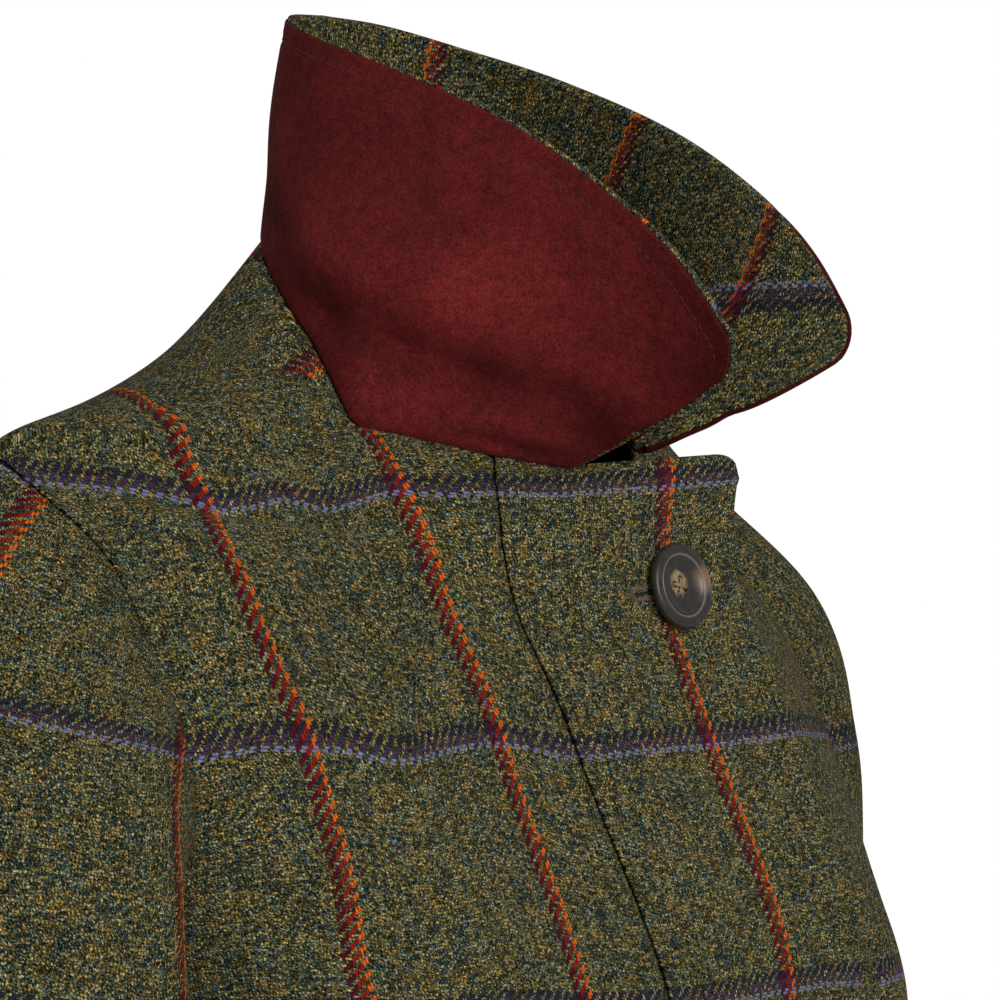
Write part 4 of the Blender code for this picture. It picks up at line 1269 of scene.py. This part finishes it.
def make_stitch(length, thick):
    """One stitch along X, as a ball stretched to its size."""
    bpy.ops.object.select_all(action="DESELECT")
    bpy.ops.mesh.primitive_uv_sphere_add(segments=8, ring_count=5, radius=0.5 * MM)
    stitch = bpy.context.object
    open_all()
    bpy.ops.transform.rotate(value=math.pi / 2, orient_axis="Y", center_override=(0.0, 0.0, 0.0))
    bpy.ops.transform.resize(value=(length, thick, thick))
    bpy.ops.object.mode_set(mode="OBJECT")
    bpy.ops.object.shade_smooth()
    return stitch


def sew(name, stitch, places, runs, outs, finish, slot):
    """Copies a stitch to each place (mm), along its run and up from the cloth, as one piece."""
    copies = []
    for place, run, out in zip(places, unit(runs), unit(outs)):
        side = np.cross(out, run)
        turn = Matrix((run, side / np.linalg.norm(side), out)).transposed().to_4x4()
        copies.append(set_down(stitch, Matrix.Translation(Vector(place) * MM) @ turn))
    row = join_all(copies)
    row.name = row.data.name = name
    dress(row, finish)
    bpy.data.objects.remove(stitch)
    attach(row, "root")
    print(name, "stitches:", len(copies), "faces:", len(row.data.polygons))


# %% Stitches round the collar
STITCH_STEP, STITCH_SIZE = 3.3, (2.5, 0.55)    # mm from stitch to stitch; length and thickness
STITCH_MARGIN, STITCH_SINK = 2.0, 0.05         # mm free at both ends, and into the cloth


def line_inside_edge(points, outs, inside):
    """Line at a distance inside the edge of the collar, with its outward directions."""
    height, width = run_length(points, 0), run_length(points, 1)
    ends = np.minimum(width, width[:, -1:] - width)
    line, up = [], []
    for c in range(points.shape[1]):
        top = height[-1, c] - inside
        row = int(np.clip(np.searchsorted(height[:, c], top), 1, len(height) - 1))
        if ends[row, c] >= inside:
            share = (top - height[row - 1, c]) / (height[row, c] - height[row - 1, c])
            line.append(points[row - 1, c] * (1 - share) + points[row, c] * share)
            up.append(outs[row, c])
    return np.array(line), np.array(up)


seam_line, seam_up = line_inside_edge(suede_points, leaf_out, STITCH_IN)
walked = run_length(seam_line[:, None], 0)[:, 0]
stops = np.arange(STITCH_MARGIN, walked[-1] - STITCH_MARGIN, STITCH_STEP)
stitch_at = np.stack([np.interp(stops, walked, seam_line[:, k]) for k in range(3)], axis=-1)
stitch_up = np.stack([np.interp(stops, walked, seam_up[:, k]) for k in range(3)], axis=-1)
sew("collar_stitches", make_stitch(*STITCH_SIZE), stitch_at - STITCH_SINK * stitch_up,
    np.gradient(stitch_at, axis=0), stitch_up, RED_THREAD, "burgundy_suede")

# %% [markdown]
# The buttons are turned from dark horn: a raised rim, a fine ring line, a shallow dish and four sewing
# holes. A disc is extruded and resized ring by ring, as on a lathe, and the holes are cut with cylinders.
# Two arched threads cross between the holes.

# %% Horn
# Places on the button's face, in metres: a pale middle, a pale rim, and a painted highlight along the
# ring line. Each is full up to one distance and has faded at its reach.
PALE_MIDDLE, MIDDLE_REACH = (-0.0005, 0.001), 0.0075
PALE_RIM, RIM_FULL, RIM_REACH = (0.012, 0.001), 0.001, 0.007
RING_HIGHLIGHT_RADIUS, RING_HIGHLIGHT_FULL, RING_HIGHLIGHT_REACH = 0.0102, 0.0001, 0.0005
STREAK_FROM, STREAK_FULL = 0.78, 1.25    # vein plus nearness to the pale middle, for a pale streak
HORN_SMOOTH, HORN_ROUGH = 0.32, 0.5
HORN_CLOUDS = ((900.0, 3.0, 0.6), (260.0, 4.0, 0.6))    # flecks and veins


def make_horn():
    finish, tree, shader = new_finish("dark_horn", HORN_ROUGH)
    where = object_place(tree)
    fleck, vein = (cloud(tree, where, *kind) for kind in HORN_CLOUDS)
    face = two_parts(tree, flat_place(tree, "face"))

    def away_from(*place):
        """Metres from a place on the face."""
        apart = [calc(tree, "SUBTRACT", part, at) for part, at in zip(face, place)]
        return calc(tree, "SQRT", calc(tree, "ADD", *(calc(tree, "POWER", part, 2.0) for part in apart)))

    colour = dyes(tree, vein, ((0.35, srgb(32, 30, 28)), (0.65, srgb(48, 44, 40))))
    middle = smooth_step(tree, away_from(*PALE_MIDDLE), MIDDLE_REACH, 0.0)
    streak = smooth_step(tree, calc(tree, "ADD", vein, middle), STREAK_FROM, STREAK_FULL)
    colour = blend(tree, streak, colour, srgb(150, 124, 92))
    rim = smooth_step(tree, away_from(*PALE_RIM), RIM_REACH, RIM_FULL)
    colour = blend(tree, rim, colour, srgb(122, 96, 68))
    # A painted highlight where the edge of the ring line would catch the light.
    from_ring_highlight = calc(tree, "ABSOLUTE", calc(tree, "SUBTRACT", away_from(0.0, 0.0), RING_HIGHLIGHT_RADIUS))
    colour = blend(tree, smooth_step(tree, from_ring_highlight, RING_HIGHLIGHT_REACH, RING_HIGHLIGHT_FULL), colour, srgb(104, 100, 96))
    grain = dyes(tree, fleck, ((0.3, grey(0.7)), (0.7, (1.25, 1.22, 1.2, 1.0))))
    colour = blend(tree, 0.6, colour, grain, "MULTIPLY")
    put(tree, shader.inputs["Base Color"], colour)
    rough = tree.nodes.new("ShaderNodeMapRange")
    put(tree, rough.inputs["Value"], fleck)
    rough.inputs["To Min"].default_value = HORN_SMOOTH
    rough.inputs["To Max"].default_value = HORN_ROUGH
    put(tree, shader.inputs["Roughness"], rough.outputs["Result"])
    return finish


HORN = make_horn()

# %% Turn one button, and set it down four times
# Radius and height of the button's rings, from its back to the middle of its face.
BUTTON_RINGS = (
    (10.6, 0.0), (12.6, 0.5), (13.5, 1.2), (13.9, 2.0), (13.9, 2.9), (13.6, 3.6), (13.1, 4.05),
    (12.4, 4.25), (11.6, 4.2), (10.9, 4.0), (10.5, 3.8), (10.3, 3.92), (10.1, 3.85), (9.8, 3.45),
    (9.1, 2.9), (7.8, 2.35), (6.2, 2.0), (4.8, 1.85),
)
BUTTON_SIDES, DRILL_SIDES, DRILL_LENGTH, SMOOTH_UNDER = 72, 20, 14.0, math.radians(35.0)
HOLE_RADIUS = 1.2
HOLE_AWAY = 1.8 * math.sqrt(2.0)               # mm from the button's middle to a hole's
FIRST_HOLE = math.radians(24.0 + 45.0)         # turn of the first hole
QUARTER = math.pi / 2
ARCH_THICK, ARCH_UP = 0.6, 1.4                 # radius of a sewing thread, and how high its arch starts
ARCH_FLAT = (0.42, 0.58)                       # the second thread's arch lies over the first
BUTTON_COUNT, BUTTON_OUT, BUTTON_TOP_Z, BUTTON_STEP = 4, -2.0, -101.0, 145.0


def make_button():
    bpy.ops.object.select_all(action="DESELECT")
    bpy.ops.mesh.primitive_circle_add(vertices=BUTTON_SIDES, radius=BUTTON_RINGS[0][0] * MM,
                                      fill_type="NGON")
    button = bpy.context.object
    open_all()
    for (before, low), (after, high) in zip(BUTTON_RINGS, BUTTON_RINGS[1:]):
        bpy.ops.mesh.extrude_region_move(TRANSFORM_OT_translate={"value": (0.0, 0.0, (high - low) * MM)})
        bpy.ops.transform.resize(value=(after / before, after / before, 1.0))
    bpy.ops.mesh.select_all(action="SELECT")
    bpy.ops.mesh.normals_make_consistent(inside=False)
    bpy.ops.object.mode_set(mode="OBJECT")
    for number in range(4):
        turn = FIRST_HOLE + QUARTER * number
        middle = Vector((math.cos(turn), math.sin(turn), 0.0)) * HOLE_AWAY * MM
        bpy.ops.object.select_all(action="DESELECT")
        bpy.ops.mesh.primitive_cylinder_add(vertices=DRILL_SIDES, radius=HOLE_RADIUS * MM,
                                            depth=DRILL_LENGTH * MM, location=middle)
        drill = bpy.context.object
        only(button)
        cut = button.modifiers.new("hole", "BOOLEAN")
        cut.object = drill
        cut.solver = "EXACT"
        bpy.ops.object.modifier_apply(modifier=cut.name)
        bpy.data.objects.remove(drill)
    only(button)
    bpy.ops.object.shade_smooth_by_angle(angle=SMOOTH_UNDER)
    mesh = button.data
    while mesh.uv_layers:
        mesh.uv_layers.remove(mesh.uv_layers[0])
    face = mesh.uv_layers.new(name="face")
    for loop in mesh.loops:
        face.uv[loop.index].vector = mesh.vertices[loop.vertex_index].co.xy
    dress(button, HORN)
    return button


def make_cross():
    """Two arched threads between opposite holes of a button."""
    arches = []
    for number, flat in enumerate(ARCH_FLAT):
        bpy.ops.object.select_all(action="DESELECT")
        bpy.ops.mesh.primitive_torus_add(major_radius=HOLE_AWAY * MM, minor_radius=ARCH_THICK * MM,
                                         major_segments=32, minor_segments=10)
        arches.append(bpy.context.object)
        open_all()
        bpy.ops.transform.rotate(value=QUARTER, orient_axis="X", center_override=(0.0, 0.0, 0.0))
        bpy.ops.transform.resize(value=(1.0, 1.0, flat))
        bpy.ops.transform.rotate(value=-(FIRST_HOLE + QUARTER * number), orient_axis="Z",
                                 center_override=(0.0, 0.0, 0.0))
        bpy.ops.transform.translate(value=(0.0, 0.0, ARCH_UP * MM))
        bpy.ops.object.mode_set(mode="OBJECT")
        bpy.ops.object.shade_smooth()
    cross = join_all(arches)
    dress(cross, SEWING_THREAD)
    return cross


def ring_at_height(out, up):
    low, high = 0.0, NECK
    for _ in range(HALVINGS):
        middle = (low + high) / 2.0
        if right_front(out, middle)[2] < up:
            low = middle
        else:
            high = middle
    return (low + high) / 2.0


def place_copy(name, model, matrix):
    copy = set_down(model, matrix)
    copy.name = copy.data.name = name
    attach(copy, "root")
    return copy


button_model, cross_model = make_button(), make_cross()
button_seats = []
for number in range(BUTTON_COUNT):
    ring = ring_at_height(BUTTON_OUT, BUTTON_TOP_Z - number * BUTTON_STEP)
    right = right_front(BUTTON_OUT - 1.0, ring) - right_front(BUTTON_OUT + 1.0, ring)
    up = right_front(BUTTON_OUT, ring + NUDGE) - right_front(BUTTON_OUT, ring - NUDGE)
    out = Vector(np.cross(right, up)).normalized()
    node = "button_" + str(number + 1)
    solid = bpy.data.objects[node]
    corners = [solid.matrix_world @ v.co for v in solid.data.vertices]
    seat = sum(corners, Vector()) / len(corners)
    seat = seat + out * (min(c.dot(out) for c in corners) - seat.dot(out))
    matrix = Matrix.Translation(seat) @ out.to_track_quat("Z", "Y").to_matrix().to_4x4()
    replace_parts(place_copy("horn_" + node, button_model, matrix), node)
    place_copy("thread_" + node, cross_model, matrix)
    button_seats.append((np.array(seat) / MM, unit(right), unit(up), np.array(out)))
bpy.data.objects.remove(button_model)
bpy.data.objects.remove(cross_model)
print("buttons at heights (mm):", [round(float(seat[0][2])) for seat in button_seats])

# %% [markdown]
# Each button closes through a worked buttonhole: a slit with close stitches over both lips and round its
# end, and a row of near black stitches along the slit as its painted shade. Only its outer end shows
# beside the button.

# %% Buttonholes
HOLE_START, HOLE_END = -6.0, 18.5              # mm from the button's middle
LIP_STEP, LIP_OUT, LIP_SLANT, LIP_SIZE = 0.7, 1.7, 0.12, (2.0, 0.7)
END_TURNS, END_SPREAD = np.radians(np.linspace(-70.0, 70.0, 7)), 1.25
# Stitches of painted shade along each slit: their places and their size.
SLIT_SHADE_STEPS, SLIT_SHADE_SIZE = np.arange(HOLE_START, HOLE_END, 3.0), (4.0, 1.0)
STITCH_LIFT = 0.12                             # mm above the cloth


def on_lap(seat, places, runs):
    """Places beside a button, set down on the right front's cloth, with their runs and outs."""
    middle, right, up, out = seat
    lap = lap_points.reshape(-1, 3)
    where, along = [], []
    for (x, y), (run_x, run_y) in zip(places, runs):
        flat = middle - right * x + up * y
        near = lap[np.argsort(np.sum((lap - flat) ** 2, axis=-1))[:3]].mean(axis=0)
        where.append(flat + out * ((near - flat) @ out + STITCH_LIFT))
        along.append(-right * run_x + up * run_y)
    return np.array(where), np.array(along), np.tile(out, (len(where), 1))


def lip_stitches(seat):
    """Places, runs and outs of the stitches on the two lips and round the end."""
    places, runs = [], []
    for lip in (-1.0, 1.0):
        for step in np.arange(HOLE_START, HOLE_END, LIP_STEP):
            places.append((step, lip * LIP_OUT))
            runs.append((LIP_SLANT, lip))
    for angle in END_TURNS:
        places.append((HOLE_END + LIP_OUT * math.cos(angle), END_SPREAD * LIP_OUT * math.sin(angle)))
        runs.append((math.cos(angle), math.sin(angle)))
    return on_lap(seat, places, runs)


for number, seat in enumerate(button_seats, 1):
    sew("buttonhole_" + str(number), make_stitch(*LIP_SIZE), *lip_stitches(seat), TAN_THREAD, "tweed")
    # A row of near black stitches along the slit, as its painted shade.
    slit_shade = on_lap(seat, [(step, 0.0) for step in SLIT_SHADE_STEPS], [(1.0, 0.0)] * len(SLIT_SHADE_STEPS))
    sew("buttonhole_slit_shade_" + str(number), make_stitch(*SLIT_SHADE_SIZE), *slit_shade, SLIT_SHADE_THREAD, "tweed")

# %% [markdown]
# The stage: a pale round floor under the hem, even white light all round with a soft key lamp, and the
# camera at the photograph's angle, close to the collar.

# %% Floor, light and camera
FLOOR_RADIUS, FLOOR_DROP = 1.1, 0.003
bpy.ops.object.select_all(action="DESELECT")
bpy.ops.mesh.primitive_circle_add(vertices=128, radius=FLOOR_RADIUS, fill_type="NGON",
                                  location=(0.0, 0.0, CAD_BOX[0][2] - FLOOR_DROP))
floor = bpy.context.object
floor.name = "floor"
pale, _, pale_shader = new_finish("pale_floor", 0.9)
pale_shader.inputs["Base Color"].default_value = (0.86, 0.86, 0.85, 1.0)
dress(floor, pale)

FILL = 0.39              # light from all round, against the white backdrop's 1
world = bpy.data.worlds.new("studio")
world.use_nodes = True
sky = world.node_tree.nodes["Background"]
sky.inputs["Color"].default_value = (1.0, 1.0, 1.0, 1.0)
seen = world.node_tree.nodes.new("ShaderNodeLightPath").outputs["Is Camera Ray"]
put(world.node_tree, sky.inputs["Strength"], calc(world.node_tree, "MAXIMUM", seen, FILL))
bpy.context.scene.world = world

TURN, RISE, DISTANCE, PIXELS_PER_MM = math.radians(-60.0), math.radians(7.0), 850.0, 2.95
SENSOR, PICTURE = 36.0, 1000.0                 # mm across the sensor, and pixels across the picture
TARGET_RIGHT, TARGET_UP = 27.0, -78.0          # middle of the picture, in mm from the origin
KEY_BACK, KEY_RIGHT, KEY_UP, KEY_SIZE, KEY_POWER = 1500.0, 720.0, 450.0, 0.8, 19.3
straight_up = np.array((0.0, 0.0, 1.0))
camera_right = np.array((math.cos(TURN), math.sin(TURN), 0.0))
level_back = np.array((math.sin(TURN), -math.cos(TURN), 0.0))
camera_back = level_back * math.cos(RISE) + straight_up * math.sin(RISE)
target = camera_right * TARGET_RIGHT + straight_up * TARGET_UP


def aim(obj, place, at):
    obj.location = Vector(place) * MM
    obj.rotation_euler = (Vector(at) - Vector(place)).to_track_quat("-Z", "Y").to_euler()


lamp = bpy.data.lights.new("key", "AREA")
lamp.shape = "DISK"
lamp.size = KEY_SIZE
lamp.energy = KEY_POWER
key = bpy.data.objects.new("key", lamp)
bpy.context.collection.objects.link(key)
aim(key, camera_back * KEY_BACK + camera_right * KEY_RIGHT + straight_up * KEY_UP, target)

lens = bpy.data.cameras.new("camera")
lens.sensor_width = SENSOR
lens.lens = SENSOR * PIXELS_PER_MM * DISTANCE / PICTURE
lens.clip_start, lens.clip_end = 0.01, 30.0
camera = bpy.data.objects.new("camera", lens)
bpy.context.collection.objects.link(camera)
aim(camera, target + camera_back * DISTANCE, target)
bpy.context.scene.camera = camera
bpy.context.scene.view_settings.view_transform = "Standard"
print("lens:", round(lens.lens, 2), "mm")
